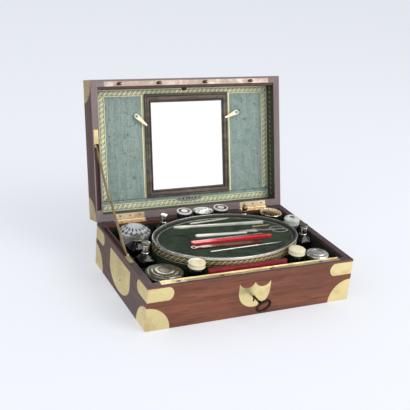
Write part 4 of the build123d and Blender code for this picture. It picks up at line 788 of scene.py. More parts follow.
@dataclass
class Carcass:
    """Finishes of the case and lid, their linings and screws."""

    hook_places: tuple[float, ...] = (-137.03, -61.0, 31.0, 126.51)
    hinge_places: tuple[float, float] = (-127.0, 127.0)
    rim: float = 78.5
    lid_rim: float = 79.0
    well: tuple[float, float, float] = (177.5, 113.5, 73.0)
    hinge_row: float = 118.6
    strip_row: float = -118.2
    stay_plate: tuple[float, float] = (-184.0, -26.0)
    joint: tuple[float, float] = (78.92, 79.3)
    woods: dict[str, Finish] = field(default_factory=lambda: {
        "case_front_board": MAHOGANY, "case_back_board": MAHOGANY, "case_end_boards": SHADED_MAHOGANY_END,
        "case_bottom_board": MAHOGANY, "partitions": DARK_WOOD, "lid_front_board": LID_WOOD,
        "lid_back_board": LID_WOOD, "lid_end_boards": LID_WOOD_END, "lid_top_board": LID_WOOD})
    metals: dict[str, Finish] = field(default_factory=lambda: {
        "case_inlaid_brasses": BRASS, "case_rim_strip": STRIP_BRASS, "escutcheon": BRASS, "lock_case": BRASS,
        "case_hinge_leaves": CASE_HINGE_BRASS, "stay_case_plate": BRASS, "lid_corner_brackets": LID_BRASS,
        "lid_rim_strip": WORN_BRASS, "lid_hinge_leaves": HINGE_BRASS, "stay_lid_plate": LID_BRASS,
        "turn_button_left": PALE_BRASS, "turn_button_right": PALE_BRASS, "stay_lower_link": OLD_BRASS,
        "stay_upper_link": OLD_BRASS, "key": DARK_STEEL, "lock_bar": STEEL, "flap_catch": BRONZE})

    def dress_all(self) -> None:
        """Dress every node of wood and metal."""
        for name, finish in {**self.woods, **self.metals}.items():
            dress(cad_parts[name], finish)

    def line_wells(self) -> None:
        """Thin lining on the floor and the four inner walls, each a slab 0.4 mm thick."""
        x, y, top = self.well
        for name, (x0, x1, y0, y1, z0, z1) in {
            "lining_left": (-x, -x + 0.4, -y, y, 6.0, top), "lining_right": (x - 0.4, x, -y, y, 6.0, top),
            "lining_front": (-x, x, -y, -y + 0.4, 6.0, top), "lining_back": (-x, x, y - 0.4, y, 6.0, top),
            "lining_floor": (-x, x, -y, y, 5.9, 6.05),
        }.items():
            put(name, slab(x0, x1, y0, y1, z0, z1), LINING, "case", smooth=False)

    def line_lid(self) -> None:
        """Dark green leather on the lid's inner walls, 0.12 mm thick, from below the rim to the flap."""
        x, y, _ = self.well
        near, deep, thick = self.lid_rim + 3.0, 105.6, 0.12
        for name, (x0, x1, y0, y1) in {
            "lid_lining_left": (-x - 0.05, -x + thick, -y, y), "lid_lining_right": (x - thick, x + 0.05, -y, y),
            "lid_lining_back": (-x, x, y - thick, y + 0.05),
        }.items():
            put(name, on_lid(slab(x0, x1, y0, y1, near, deep)), LID_LINING, "lid", smooth=False)

    def put_screws(self) -> None:
        """Three screws in each hinge leaf, small ones along both strips, and one in each stay plate."""
        hinge = [(centre + step, self.hinge_row) for centre in self.hinge_places for step in (-19.0, 0.0, 19.0)]
        strip = [(x, self.strip_row) for x in (-160.0, -98.0, -14.0, 78.0, 158.0)]
        for name, places, radius, low_finish, high_finish in (
                ("hinge_screws", hinge, 2.3, OLD_BRASS, OLD_BRASS), ("strip_screws", strip, 1.3, BRASS, WORN_BRASS),
                ("stay_plate_screw", [self.stay_plate], 1.6, BRASS, LID_BRASS)):
            screws(name, "case", [(x, y, self.rim) for x, y in places], radius, False, low_finish)
            screws(f"lid_{name}", "lid", [(x, y, self.lid_rim) for x, y in places], radius, True, high_finish)

    def hook_roots(self) -> None:
        """The dark oval round each hook's root, and the seam in the lid's strip."""
        spots = np.array([(x + 0.8, -118.3, self.lid_rim) for x in self.hook_places])
        put("hook_roots", on_lid(placed(oblong(6.2, 3.1, 0.15), spots, X_WAY, -Y_WAY)), BRONZE, "lid")
        seam = slab(-22.2, -21.8, -122.4, -114.0, self.lid_rim - 0.06, self.lid_rim + 0.1)
        put("strip_seam", on_lid(seam), BRONZE, "lid", smooth=False)

    def hinge_gap_shade_strips(self) -> None:
        """A thin near-black strip on each back board beside their joint: painted shade, dark where the gap behind the
        hinge would show the bright floor.
        """
        back, out = 126.0, 126.5
        runs = ((-189.0, -157.0), (-97.0, 97.0), (157.0, 189.0))
        case = np.stack([slab(x0, x1, back, out, 72.0, self.joint[0]) for x0, x1 in runs])
        lid = np.stack([slab(x0, x1, back, out, self.joint[1], 86.0) for x0, x1 in runs])
        put("case_hinge_gap_shade", case, GAP_SHADE, "case", smooth=False)
        put("lid_hinge_gap_shade", on_lid(lid), GAP_SHADE, "lid", smooth=False)

    def side_pins(self) -> None:
        """The small dark pin low in each side plate."""
        spots = np.array([(-190.0, -4.0, 30.0), (190.0, -4.0, 30.0)])
        put("side_plate_pins", placed(button_head(1.9, 0.5), spots, Y_WAY, np.stack([-Z_WAY, Z_WAY])), BRONZE, "case")

    def build(self) -> None:
        """Dress the nodes and add the linings and small metalwork."""
        self.dress_all()
        self.line_wells()
        self.line_lid()
        self.put_screws()
        self.hook_roots()
        self.hinge_gap_shade_strips()
        self.side_pins()


@dataclass
class Flap:
    """The leather flap's gilt tooling, the mirror's moulded frame and its ornament, in the shut lid's millimetres."""

    face: float = 106.0
    half_width: float = 177.2
    far: float = -108.4
    fold: float = 94.0
    near: float = 113.5
    band: float = 10.8
    inset: float = 1.7
    left_inset: float = 8.4
    pitch: float = 9.4
    line: float = 1.2
    leaf_size: tuple[float, float, float] = (12.4, 4.3, 0.4)
    strand_size: tuple[float, float, float] = (10.0, 1.7, 0.3)
    bar_lean: float = 38.0
    side_lean: float = -36.0
    wall_x: float = 177.38
    wall_z: float = 95.0
    frame_x: tuple[float, float] = (-81.5, 88.5)
    frame_y: tuple[float, float] = (-98.6, 93.7)
    side_bar: float = 13.0
    top_bar: float = 16.5
    foot_bar: float = 14.5

    def run(self, start: tuple[float, float], end: tuple[float, float]) -> tuple[Array, Array, Array]:
        """Places at an even pitch along a straight run on the leather's face.

        Returns:
            Origins, and the unit vectors along and across, whose cross product points out of the face.
        """
        a, b = np.array(start), np.array(end)
        length = np.linalg.norm(b - a)
        count = max(1, round(length / self.pitch))
        t = (np.arange(count) + 0.5) / count
        flat = a + (b - a) * t[:, None]
        origin = np.column_stack([flat, np.full(count, self.face)])
        way = (b - a) / length
        return origin, np.array([*way, 0.0]), np.array([way[1], -way[0], 0.0])

    def tooled_band(self, name: str, body: str, start: tuple[float, float], end: tuple[float, float],
                    lean: float) -> None:
        """A rope of leaning leaves with a thin strand between each pair, between two fillets, pressed in gold."""
        origin, along, across = self.run(start, end)
        leaves = placed(leaf(*self.leaf_size, math.radians(lean)), origin, along, across)
        put_sheets(name + "_leaves", on_lid(leaves), GOLD_LEAF, body)
        between = origin + along * self.pitch / 2
        strands = placed(leaf(*self.strand_size, math.radians(lean)), between[:-1], along, across)
        put_sheets(name + "_strands", on_lid(strands), GOLD_LEAF, body)
        side, first, last = across[:2], np.array(start), np.array(end)
        rails = []
        for offset in (-self.band / 2, self.band / 2):
            near, far = side * (offset - self.line / 2), side * (offset + self.line / 2)
            corners = np.array([first + near, last + near, last + far, first + far])
            rails.append(pinched(corners, self.face + 0.05, self.face - 0.16))
        put(name + "_lines", on_lid(np.stack(rails)), GOLD_LEAF, body, smooth=False)

    def tool_leather(self) -> None:
        """The border round the flap, its foot on the fixed fillet, and the upright lines beside the mirror."""
        half = self.band / 2
        left, right = -self.half_width + self.left_inset + half, self.half_width - self.inset - half
        top, foot = self.far + self.inset + half, self.near - self.inset - half
        self.tooled_band("border_top", "flap", (left - half, top), (right + half, top), self.bar_lean)
        self.tooled_band("border_left", "flap", (left, self.fold - 1.5), (left, top + half), self.side_lean)
        self.tooled_band("border_right", "flap", (right, top + half), (right, self.fold - 1.5), self.side_lean)
        self.tooled_band("border_foot", "lid", (right + half, foot), (left - half, foot), self.bar_lean)
        self.tool_walls()
        thin_line, broad_line = (1.4, 2.1), (3.2, 5.4)
        uprights = []
        for edge, way in zip(self.frame_x, (-1, 1)):
            for start, end in (thin_line, broad_line):
                x0, x1 = sorted((edge + way * start, edge + way * end))
                uprights.append(slab(x0, x1, top + half, self.fold - 1.0, self.face - 0.25, self.face))
        put("gilt_uprights", on_lid(np.stack(uprights)), GOLD_LEAF, "flap", smooth=False)
        foot_leather = slab(-177.4, 177.4, self.fold + 0.4, self.near, self.face - 0.02, self.face + 0.3)
        put("fillet_leather", on_lid(foot_leather), GREEN_LEATHER, "lid", smooth=False)

    def tool_walls(self) -> None:
        """A rope of old gilt leaves down the lining of each side wall of the lid, between the flap and the rim."""
        y = np.arange(-104.0, 108.0, self.pitch)
        for name, side in (("left", -1.0), ("right", 1.0)):
            origin = np.column_stack([np.full(len(y), side * self.wall_x), y, np.full(len(y), self.wall_z)])
            grid = placed(leaf(11.0, 3.4, 0.12, math.radians(36)), origin, Y_WAY, -side * Z_WAY)
            put_sheets(f"wall_tooling_{name}", on_lid(grid), OLD_GOLD, "lid")

    def rosette(self) -> None:
        """The lace-like ornament under the mirror: scalloped ovals, one in another, and a ring of small loops.

        Each oval is x = a s cos t, y = b s sin t, with s = 1 + 0.07 cos 16t for the scallops.
        """
        t = full_turn(160)
        centre = np.array([4.0, 100.6, self.face])

        def loop(long: Array | float, wide: Array | float, wire: float, step: float = 0.0) -> Array:
            """A wire along an oval just over the ground, set off along the bar by a step."""
            line = np.stack([step + long * np.cos(t), wide * np.sin(t), np.full(len(t), -0.7)], axis=1)
            return tube(centre + line, wire)

        scallops = 1 + 0.07 * np.cos(16 * t)
        curves = [loop(25.5 * share * scallops, 5.2 * share * scallops, 0.55) for share in (1.0, 0.72, 0.42)]
        for step in np.linspace(-18.5, 18.5, 7):
            curves.append(loop(2.8, 4.6 * math.sqrt(1 - (step / 26.0) ** 2), 0.4, step))
        put("rosette", on_lid(np.stack(curves)), PEWTER, "lid", round_u=True)
        ground = placed(oblong(27.0, 5.7, 0.5, 60), centre[None], X_WAY, -Y_WAY)
        put("rosette_ground", on_lid(ground), LID_LINING, "lid")

    def frame_ring(self, profile: Sequence[tuple[float, float]]) -> Array:
        """Carry a section round the mirror's frame, its inset stretched on the wider top and foot bars."""
        grid = mitred_ring(profile, *self.frame_x, *self.frame_y)
        inset = np.array([p[0] for p in profile])
        grid[:2, :, 1] += inset * (self.top_bar / self.side_bar - 1)
        grid[2:, :, 1] -= inset * (self.foot_bar / self.side_bar - 1)
        return grid

    def mirror_moulding(self) -> None:
        """The mirror's frame, mitred at its corners: an outer bead, a hollow and an inner slip, with two grooves."""
        profile = [(0.0, 106.0), (0.0, 102.2), (0.5, 101.0), (1.6, 100.5), (2.8, 100.8), (3.2, 102.4),
                   (3.9, 102.6), (4.3, 101.3), (5.4, 101.0), (7.2, 101.5), (8.4, 102.3), (9.0, 103.2),
                   (9.6, 103.2), (9.9, 102.2), (10.8, 102.3), (12.2, 103.6), (12.8, 104.1), (12.8, 106.0)]
        put("mirror_moulding", on_lid(self.frame_ring(profile)), FRAME_WOOD, "flap", ["mirror_frame"], round_u=True)
        for name, groove in (("outer", [(2.9, 102.6), (2.9, 101.6), (4.3, 101.7), (4.3, 102.8)]),
                             ("inner", [(9.5, 103.4), (9.5, 102.0), (10.9, 102.0), (10.9, 103.4)])):
            put(f"mirror_{name}_groove", on_lid(self.frame_ring(groove)), GROOVE, "flap", round_u=True, smooth=False)

    def build(self) -> None:
        """Dress the flap and build its trimmings."""
        dress(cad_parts["lid_flap"], GREEN_LEATHER)
        dress(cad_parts["mirror_glass"], MIRROR)
        self.tool_leather()
        self.rosette()
        self.mirror_moulding()


@dataclass
class OvalCase:
    """The oval leather case: drum, gilt band, silver rim, and the border and bead of its tray."""

    a: float = 135.0
    b: float = 89.5
    y: float = -10.0
    top: float = 95.5
    rim_height: float = 4.0
    rim_width: float = 5.0
    drum_inset: float = 1.4
    wall: float = 3.6
    tray_top: float = 90.5
    pitch: float = 9.6
    leaf_size: tuple[float, float, float] = (14.5, 3.2, 0.36)
    strand_size: tuple[float, float, float] = (12.0, 1.2, 0.26)
    lean: float = math.radians(30)

    def ring(self, profile: Sequence[tuple[float, float]], sides: int = 160) -> Array:
        """Carry a section round the oval: x = (a - inset) cos t, y = y0 + (b - inset) sin t."""
        line = np.array(profile, float)
        t = full_turn(sides)
        x = (self.a - line[:, 0, None]) * np.cos(t)
        y = self.y + (self.b - line[:, 0, None]) * np.sin(t)
        return np.stack([x, y, line[:, 1, None] + 0 * t], axis=-1)

    def band_places(self, level: float) -> tuple[Array, Array]:
        """Even steps round the drum's outside, and the unit tangent at each."""
        t = np.linspace(0, 2 * np.pi, 2000)
        a, b = self.a - self.drum_inset, self.b - self.drum_inset
        x, y = a * np.cos(t), b * np.sin(t)
        walked = np.concatenate([[0], np.cumsum(np.hypot(np.diff(x), np.diff(y)))])
        count = round(walked[-1] / self.pitch)
        at = np.interp(np.arange(count) / count * walked[-1], walked, t)
        origin = np.column_stack([a * np.cos(at), self.y + b * np.sin(at), np.full(count, level)])
        along = np.column_stack([-a * np.sin(at), b * np.cos(at), np.zeros(count)])
        return origin, along / np.linalg.norm(along, axis=1)[:, None]

    def drum(self) -> None:
        """The leather drum, the thin silver rim that caps it and the leather facing inside the rim."""
        inner = self.drum_inset + self.wall
        foot, neck = 6.0, self.top - self.rim_height
        wall = [(self.drum_inset + 0.8, foot), (self.drum_inset, foot + 1.0), (self.drum_inset, neck),
                (inner, neck), (inner, foot + 3.0), (self.a * 0.55, foot + 3.0), (self.a * 0.55, foot)]
        put("oval_drum", self.ring(wall), DARK_LEATHER, "oval_case", ["oval_case"], round_u=True)
        edge = 1.9
        rim = rounded([(edge, neck), (0.4, neck), (0.0, neck + 0.5), (0.3, neck + 1.2), (0.3, self.top - 1.0),
                       (0.7, self.top - 0.2), (1.2, self.top), (edge, self.top - 0.4), (edge, neck)])
        put("oval_rim", self.ring(rim[:-1]), SILVER, "oval_case", round_u=True)
        facing = [(edge - 0.1, neck), (edge - 0.1, self.top - 0.5), (3.4, self.top - 0.3),
                  (self.rim_width - 0.4, self.top - 0.6), (self.rim_width, self.top - 1.2), (self.rim_width, neck)]
        put("rim_facing", self.ring(facing), OLIVE_LEATHER, "oval_case", round_u=True)

    def tooling(self) -> None:
        """The gilt band under the rim: a rope of leaves with thin strands between, and a line above and below."""
        neck = self.top - self.rim_height
        origin, along = self.band_places(neck - 6.8)
        for name, size, shift in (("leaves", self.leaf_size, 0.0), ("strands", self.strand_size, self.pitch / 2)):
            grid = placed(leaf(*size, self.lean), origin + along * shift, along, Z_WAY)
            put_sheets(f"oval_tooling_{name}", grid, CASE_GOLD, "oval_case")
        for number, level in enumerate((neck - 1.2, neck - 12.6)):
            line = [(self.drum_inset + 0.1, level - 0.6), (self.drum_inset - 0.16, level - 0.55),
                    (self.drum_inset - 0.16, level + 0.55), (self.drum_inset + 0.1, level + 0.6)]
            put(f"oval_line_{number}", self.ring(line), CASE_GOLD, "oval_case", round_u=True)

    def tray(self) -> None:
        """The tray's velvet, its olive leather border and the pale bead inside that."""
        dress(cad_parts["oval_tray"], VELVET)
        start, end = self.drum_inset + self.wall + 0.6, 9.4
        flat = [(start, self.tray_top - 0.1), (start, self.tray_top + 0.25), (start + 0.3, self.tray_top + 0.4),
                (end - 0.3, self.tray_top + 0.4), (end, self.tray_top + 0.25), (end, self.tray_top - 0.1)]
        put("tray_border", self.ring(flat), OLIVE_LEATHER, "oval_tray", round_u=True)
        bead = [(end + 0.6 + 0.75 * math.cos(f), self.tray_top + 0.75 * math.sin(f))
                for f in np.linspace(-0.4, math.pi + 0.4, 7)]
        put("tray_bead", self.ring(bead), PALE_BEAD, "oval_tray", round_u=True)

    def build(self) -> None:
        """Build the drum, the rim, the tooled band and the tray's border."""
        self.drum()
        self.tooling()
        self.tray()


@dataclass
class Tools:
    """Finishes of what lies in the tray, and the pieces of it too small for nodes of their own."""

    velvet: float = 90.5
    razor_top: float = 94.1
    finishes: dict[str, Finish] = field(default_factory=lambda: {
        "ivory_brush": IVORY_OLD, "ivory_stick": IVORY_OLD, "ivory_paper_knife": IVORY_OLD,
        "folded_razor": RED_HORN, "tortoiseshell_lorgnette": TORTOISE, "steel_probe": BRIGHT_STEEL,
        "scissors_lower_half": BRIGHT_STEEL, "scissors_upper_half": BRIGHT_STEEL})

    def bar(self, name: str, start: tuple[float, float], end: tuple[float, float], wide: float, narrow: float,
            high: float, finish: Finish) -> None:
        """A tapering bar with a low ridge, lying on the velvet from one point to another.

        Across it the height is high (1 - t^4); its half width goes evenly from wide/2 to narrow/2 and closes
        over its last hundredth at each end.
        """
        a, b = np.array(start), np.array(end)
        along = (b - a) / np.linalg.norm(b - a)
        aside = np.array([-along[1], along[0]])
        s = np.array([0.0, 0.01, 0.03, 0.2, 0.5, 0.8, 0.97, 0.99, 1.0])
        close = np.array([0.0, 0.7, 1.0, 1.0, 1.0, 1.0, 1.0, 0.7, 0.0])
        f = full_turn(16)
        half = (wide + (narrow - wide) * s) / 2 * close
        flat = a + (b - a) * s[:, None]
        x = flat[:, 0, None] + aside[0] * half[:, None] * np.cos(f)
        y = flat[:, 1, None] + aside[1] * half[:, None] * np.cos(f)
        z = self.velvet - 0.05 + high * close[:, None] * np.clip(np.sin(f), 0.0, 0.7) / 0.7 + 0 * x
        put(name, np.stack([x, y, z], axis=-1), finish, "oval_tray")

    def razor_fittings(self) -> None:
        """The razor's three brass pins."""
        start, end = np.array((-72.0, -22.0)), np.array((81.0, -27.0))
        way = (end - start) / np.linalg.norm(end - start)
        spots = np.array([[*(start + (end - start) * share), self.razor_top] for share in (0.035, 0.56, 0.965)])
        pins = placed(button_head(1.15, 0.35, 14), spots, np.array([*way, 0.0]), np.array([-way[1], way[0], 0.0]))
        put("razor_pins", pins, CASE_PIN, "folded_razor")

    def build(self) -> None:
        """Dress the tools and add the thin file, the gold bar and the razor's pins."""
        for name, finish in self.finishes.items():
            dress(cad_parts[name], finish)
        self.bar("thin_file", (-59.0, -13.7), (72.0, -12.4), 3.2, 1.8, 1.1, STEEL)
        self.bar("gold_bar", (66.0, 18.0), (102.0, 18.0), 2.6, 2.0, 1.6, CASE_PIN)
        self.razor_fittings()


@dataclass
class Vessels:
    """The bottles, boxes and jars round the oval case.

    Heights are from the table. The front and side wells have their floor at one height, and the cup and the ring
    boxes stand on the shelf.
    """

    floor: float = 6.0
    shelf: float = 36.0
    side_row: float = 153.0

    def foot(self, radius: float, straight: float, shoulder: float) -> list[tuple[float, float]]:
        """The start of a turned glass: its foot and upright side. Its rows 3 to 5 are where the flutes run."""
        return [(0.0, self.floor), (radius - 2.0, self.floor), (radius, self.floor + 2.0),
                (radius, self.floor + 6.0), (radius, straight), (radius, shoulder)]

    def glass(self, name: str, profile: Sequence[tuple[float, float]], centre: tuple[float, float], node: str,
              cuts: int, depth: float, finish: Finish = GLASS) -> None:
        """A turned glass body, which stands for its node, with upright flutes cut into its side.

        Args:
            name: of the new piece.
            profile: (radius, height), starting with what foot gives.
            centre: the axis in plan.
            node: the node that it stands for, which is also its body.
            cuts: how many flutes.
            depth: of the flutes, as a share of the radius.
            finish: when it isn't the usual glass.
        """
        def ripple(angle: Array, row: Array) -> Array:
            """The radius drops by depth at each flute's middle: 1 - depth |cos(n a / 2)|."""
            return 1.0 - among(row, 3, 5) * depth * np.abs(np.cos(cuts * angle / 2))

        put(name, lathe(profile, centre, max(72, cuts * 6), ripple), finish, node, [node])

    def turned(self, name: str, profile: Sequence[tuple[float, float]], centre: tuple[float, float], sides: int,
               finish: Finish, node: str, whole: bool = False) -> None:
        """A turned piece with softened corners, on a node, which it stands for when it is the whole of it."""
        put(name, lathe(rounded(profile), centre, sides), finish, node, [node] if whole else ())

    def square(self, name: str, centre: tuple[float, float], half: tuple[float, float], cut: float,
               rows: list[tuple[float, float, float]], node: str) -> None:
        """A square glass body with cut corners, which stands for its node. Rows start at the top of its side."""
        foot = [(0, 0, self.floor), (0.94, 0, self.floor), (1, 0, self.floor + 2.0)]
        put(name, canted_post(centre, half, cut, foot + rows), SHADED_GLASS, node, [node])

    def powder_boxes(self) -> None:
        """The large glass box and its ringed silver lid, and the small box with its own."""
        x, y = -143.0, -79.0
        body = self.foot(29.5, 60.0, 65.0) + [(28.5, 69), (26.5, 69), (26.5, 9), (0, 9)]
        self.glass("large_box_glass", body, (x, y), "large_powder_box", 28, 0.045)
        lid = [(0, 69.0), (31, 69.0), (32, 70.0), (31.6, 71.0), (32, 72.0), (32, 74.0), (31, 75.4), (30, 76.0),
               (27, 76.6), (25.6, 76.4), (25, 77.4), (24, 78.6), (21, 79.0), (19.6, 78.7), (18.4, 79.3), (17, 79.6),
               (16, 80.0), (12, 80.0), (11, 79.2), (9.4, 79.1), (8.6, 79.6), (7.6, 79.2), (0, 79.5)]
        self.turned("large_box_lid", lid, (x, y), 96, OLD_SILVER, "large_powder_box_lid", True)
        x, y = 143.0, -84.5
        body = self.foot(18.5, 60.0, 65.0) + [(15.5, 70), (0, 70)]
        self.glass("small_box_glass", body, (x, y), "small_powder_box", 20, 0.05)
        lid = [(0, 69.9), (19.5, 69.9), (20.5, 71.0), (20.1, 72.0), (20.5, 73.0), (20.5, 75.0), (18.5, 77.5),
               (15.4, 78.2), (14.4, 78.0), (13.5, 79.6), (12.4, 80.0), (9.5, 80.0), (8.6, 79.1), (6.0, 79.0),
               (5.2, 79.5), (4.2, 79.1), (0, 79.3)]
        self.turned("small_box_lid", lid, (x, y), 80, SMALL_LID, "small_powder_box")

    def capped_jars(self) -> None:
        """Two glass jars and their turned ivory caps with ridged sides."""
        for side, x in (("left", -94.0), ("right", 94.0)):
            centre = (x, -93.0)
            body = self.foot(13.5, 76.0, 82.0) + [(12.5, 86), (10.5, 86), (10.5, 9), (0, 9)]
            self.glass(f"jar_{side}_glass", body, centre, f"jar_{side}", 12, 0.05)
            cap = [(0, 86.0), (13.7, 86.0), (14.5, 87.0), (14.3, 88.0), (14.3, 93.0), (14.5, 94.0), (13.9, 95.0),
                   (12.8, 95.5), (11.6, 95.3), (11.0, 96.4), (9.6, 97.0), (8.6, 96.8), (7.6, 97.4), (5.2, 97.5),
                   (4.6, 97.1), (3.8, 97.4), (0, 97.5)]

            def ridges(angle: Array, row: Array) -> Array:
                """Forty fine ridges on the cap's upright side."""
                return 1.0 - among(row, 3, 4) * 0.02 * (1 + np.cos(40 * angle)) / 2

            put(f"cap_{side}", lathe(cap, centre, 240, ridges), IVORY, f"jar_cap_{side}", [f"jar_cap_{side}"])

    def collar(self, name: str, centre: tuple[float, float], neck: float, low: float, high: float,
               body: str) -> None:
        """A silver collar turned round a bottle's neck: plain, with a bead at its foot and another at its lip."""
        section = [(neck - 0.3, low), (neck + 0.9, low), (neck + 1.1, low + 0.6), (neck + 0.8, low + 1.2),
                   (neck + 0.35, low + 1.5), (neck + 0.35, high - 2.0), (neck + 0.9, high - 1.6),
                   (neck + 1.0, high - 0.5), (neck + 0.8, high), (neck - 0.3, high)]
        put(name, lathe(section, centre, 48), COLLAR, body, round_u=True)

    def square_bottles(self) -> None:
        """The two square bottles with disc-topped stoppers, and the short faceted bottle behind the left one."""
        for side, x in (("left", -self.side_row), ("right", self.side_row)):
            centre = (x, -18.0)
            rows = [(1, 0, 68), (0.99, 0, 71), (0.95, 6.9, 72.5), (0.72, 6.9, 74.5), (0.4, 6.9, 77.5),
                    (0.12, 6.9, 80.5), (0, 6.8, 82), (0, 6.7, 82.6), (0, 5.7, 83.6), (0, 5.4, 85.5), (0, 5.4, 94.2),
                    (0, 6.2, 95.6), (0, 6.2, 97.2), (0, 5.9, 97.5), (0, 3.1, 97.5), (0, 3.1, 88.6), (0, 0, 88.6)]
            self.square(f"bottle_{side}_glass", centre, (14.0, 14.0), 3.9, rows, f"bottle_{side}")
            self.collar(f"bottle_{side}_collar", centre, 5.4, 83.2, 97.4, f"bottle_{side}")
            top = [(0, 89.0), (2.8, 89.0), (2.8, 97.5), (5.0, 97.5), (5.6, 98.5), (7.4, 99.0), (7.6, 99.6),
                   (7.6, 101.0), (6.8, 101.7), (6.0, 101.6), (5.4, 102.0), (3.0, 102.0), (2.4, 101.7), (0, 101.8)]
            self.turned(f"stopper_{side}_top", top, centre, 48, OLD_SILVER, f"stopper_{side}", True)
        centre = (-self.side_row, 23.0)
        rows = [(1, 0, 73), (0.98, 0, 76), (0.82, 8.5, 77.5), (0.5, 8.5, 79.5), (0.2, 8.5, 82), (0, 8.2, 84),
                (0, 6.5, 84), (0, 5.6, 88.9), (0, 0, 88.9)]
        self.square("faceted_bottle_glass", centre, (17.0, 15.0), 4.7, rows, "faceted_bottle")
        disc = [(0, 88.8), (11.8, 88.9), (13.0, 90.0), (13.0, 91.6), (12.2, 92.6), (10.8, 92.9), (9.8, 92.5),
                (9.0, 92.9), (4.2, 93.0), (3.4, 92.6), (0, 92.8)]
        self.turned("faceted_bottle_disc", disc, centre, 64, OLD_SILVER, "faceted_bottle")

    def fluted_jar(self) -> None:
        """The cut-glass jar: sixteen flutes up its side, a star of facets cut into its domed top, and dark leaves on
        those facets as painted dark reflections.
        """
        centre, n = (-135.5, 80.0), 16
        profile = [(0, 6), (22.5, 6), (25.5, 10), (25.5, 14), (25.5, 66), (26.5, 70), (28.5, 76), (28.3, 78),
                   (26.6, 79.6), (24.5, 82), (20.0, 84.8), (15.5, 86.8), (13.0, 86.2), (8.0, 85.2), (0, 84.9)]

        def star(angle: Array, row: Array) -> Array:
            """Flutes on the side, twice as many scallops at the rim, and facets narrowing over the dome."""
            side = among(row, 3, 5) * 0.09 * np.abs(np.cos(n * angle / 2))
            rim = among(row, 6, 7) * 0.07 * np.abs(np.cos(n * angle / 2))
            dome = among(row, 8, 12) * 0.17 * np.abs(np.cos(n * angle / 2 + (row % 2) * np.pi / 2))
            return 1.0 - side - rim - dome

        grid = lathe(profile, centre, n * 6, star)
        put("fluted_jar_glass", grid, BRIGHT_GLASS, "fluted_jar", ["fluted_jar"])
        # Dark leaves laid on the dome's facets: painted dark reflections of the cut top.
        ray, across = ring_ways(2 * np.pi * (np.arange(n) + 0.5) / n)
        for name, radius, height, fall, cut in (("outer", 24.6, 81.7, 0.66, leaf(8.5, 4.4, 0.5, 0.0)),
                                                ("inner", 16.6, 86.2, 0.42, leaf(8.0, 3.0, 0.5, 0.0))):
            along = ray * math.cos(fall) - Z_WAY * math.sin(fall)
            origin = ray * radius + np.array([*centre, height])
            put_sheets(f"fluted_jar_{name}_cuts", placed(cut, origin, along, across), FACET_DARK_REFLECTION, "fluted_jar")

    def beaker_and_cup(self) -> None:
        """The ribbed silver-gilt beaker and the oval silver cup, both open."""
        beaker = [(0, 6), (17, 6), (19, 7.5), (19.6, 60), (19.8, 80), (20.6, 84), (21, 85.4), (20.6, 86), (20.0, 86),
                  (19.6, 85.2), (18.4, 79), (18.0, 60), (17.4, 9), (0, 9)]

        def ribs(angle: Array, row: Array) -> Array:
            """Twenty upright ribs round the inside."""
            return 1.0 - among(row, 9, 12) * 0.035 * (1 + np.cos(20 * angle)) / 2

        put("beaker", lathe(beaker, (142.0, 82.0), 160, ribs), SILVER_GILT, "silver_beaker", ["silver_beaker"])
        rows = np.array([(20.0, self.shelf), (5.4, self.shelf), (4.6, 38.0), (0.9, 92.0), (0.2, 95.6), (0.0, 96.6),
                         (0.5, 97.0), (1.1, 96.7), (1.5, 95.4), (2.2, 91.0), (6.4, 40.0), (20.0, 39.4)])
        f = full_turn(96)
        wide, deep = 20.5 - rows[:, 0, None], 16.2 * (20.5 - rows[:, 0, None]) / 20.5
        deep = np.where(rows[:, 0, None] < 8.0, 16.2 - rows[:, 0, None], deep)
        cup = np.stack([3.8 + wide * np.cos(f), 96.5 + deep * np.sin(f), rows[:, 1, None] + 0 * f], axis=-1)
        for end in (0, -1):
            cup[end] = cup[end].mean(axis=0)
        put("cup", cup, COLLAR, "silver_cup", ["silver_cup"])

    def white_topped(self) -> None:
        """The white jar with its engraved lid, and the two ring boxes, whose black bodies give the black ring on
        their tops and painted shade on their sides, with a white ring and a white boss.
        """
        centre = (self.side_row + 2.0, 27.0)
        body = self.foot(13.5, 74.0, 79.0) + [(10.5, 84), (0, 84)]
        self.glass("white_jar_glass", body, centre, "white_jar", 12, 0.05, SHADED_GLASS)
        lid = [(0, 83.9), (13.5, 83.9), (14.5, 85.0), (14.3, 86.2), (14.5, 87.2), (14.5, 94.0), (13.0, 96.0),
               (11.8, 96.0), (11.4, 95.6), (10.6, 96.2), (9.6, 97.7), (8.8, 98.0), (7.4, 97.8), (6.9, 97.3),
               (6.2, 97.7), (5.4, 97.3), (0, 97.6)]
        self.turned("white_jar_lid", lid, centre, 80, WHITE, "white_jar")
        boss = placed(oblong(5.0, 5.0, 0.3, 40), np.array([[*centre, 97.5]]), X_WAY, Y_WAY)
        put("white_jar_boss", boss, OLD_SILVER, "white_jar")
        top = 99.5
        for side, x in (("left", -33.2), ("right", 41.4)):
            centre = (x, 98.3)
            body = [(0, self.shelf), (12.2, self.shelf), (13.0, self.shelf + 2.0), (13.0, 87.5), (13.7, 88.5),
                    (13.5, 91.0), (13.7, 93.0), (13.7, 97.2), (12.6, 98.3), (0, 98.3)]
            # The black body gives the black ring on the top and, on the sides, painted shade under the lid's lip.
            self.turned(f"ring_box_{side}_body", body, centre, 72, RING_BOX_BLACK, f"ring_box_{side}", True)
            band = [(13.0, 96.0), (13.8, 96.2), (13.8, 98.2), (13.2, 99.2), (12.4, top), (11.6, 99.3), (11.1, 98.5),
                    (11.2, 98.0), (12.4, 97.8)]
            boss = [(0, 98.0), (6.4, 98.0), (6.5, 98.7), (5.9, 99.3), (5.0, top), (2.6, top - 0.1), (0, top)]
            put(f"ring_box_{side}_ring", lathe(band, centre, 72), BONE, f"ring_box_{side}", round_u=True)
            self.turned(f"ring_box_{side}_boss", boss, centre, 48, BONE, f"ring_box_{side}")

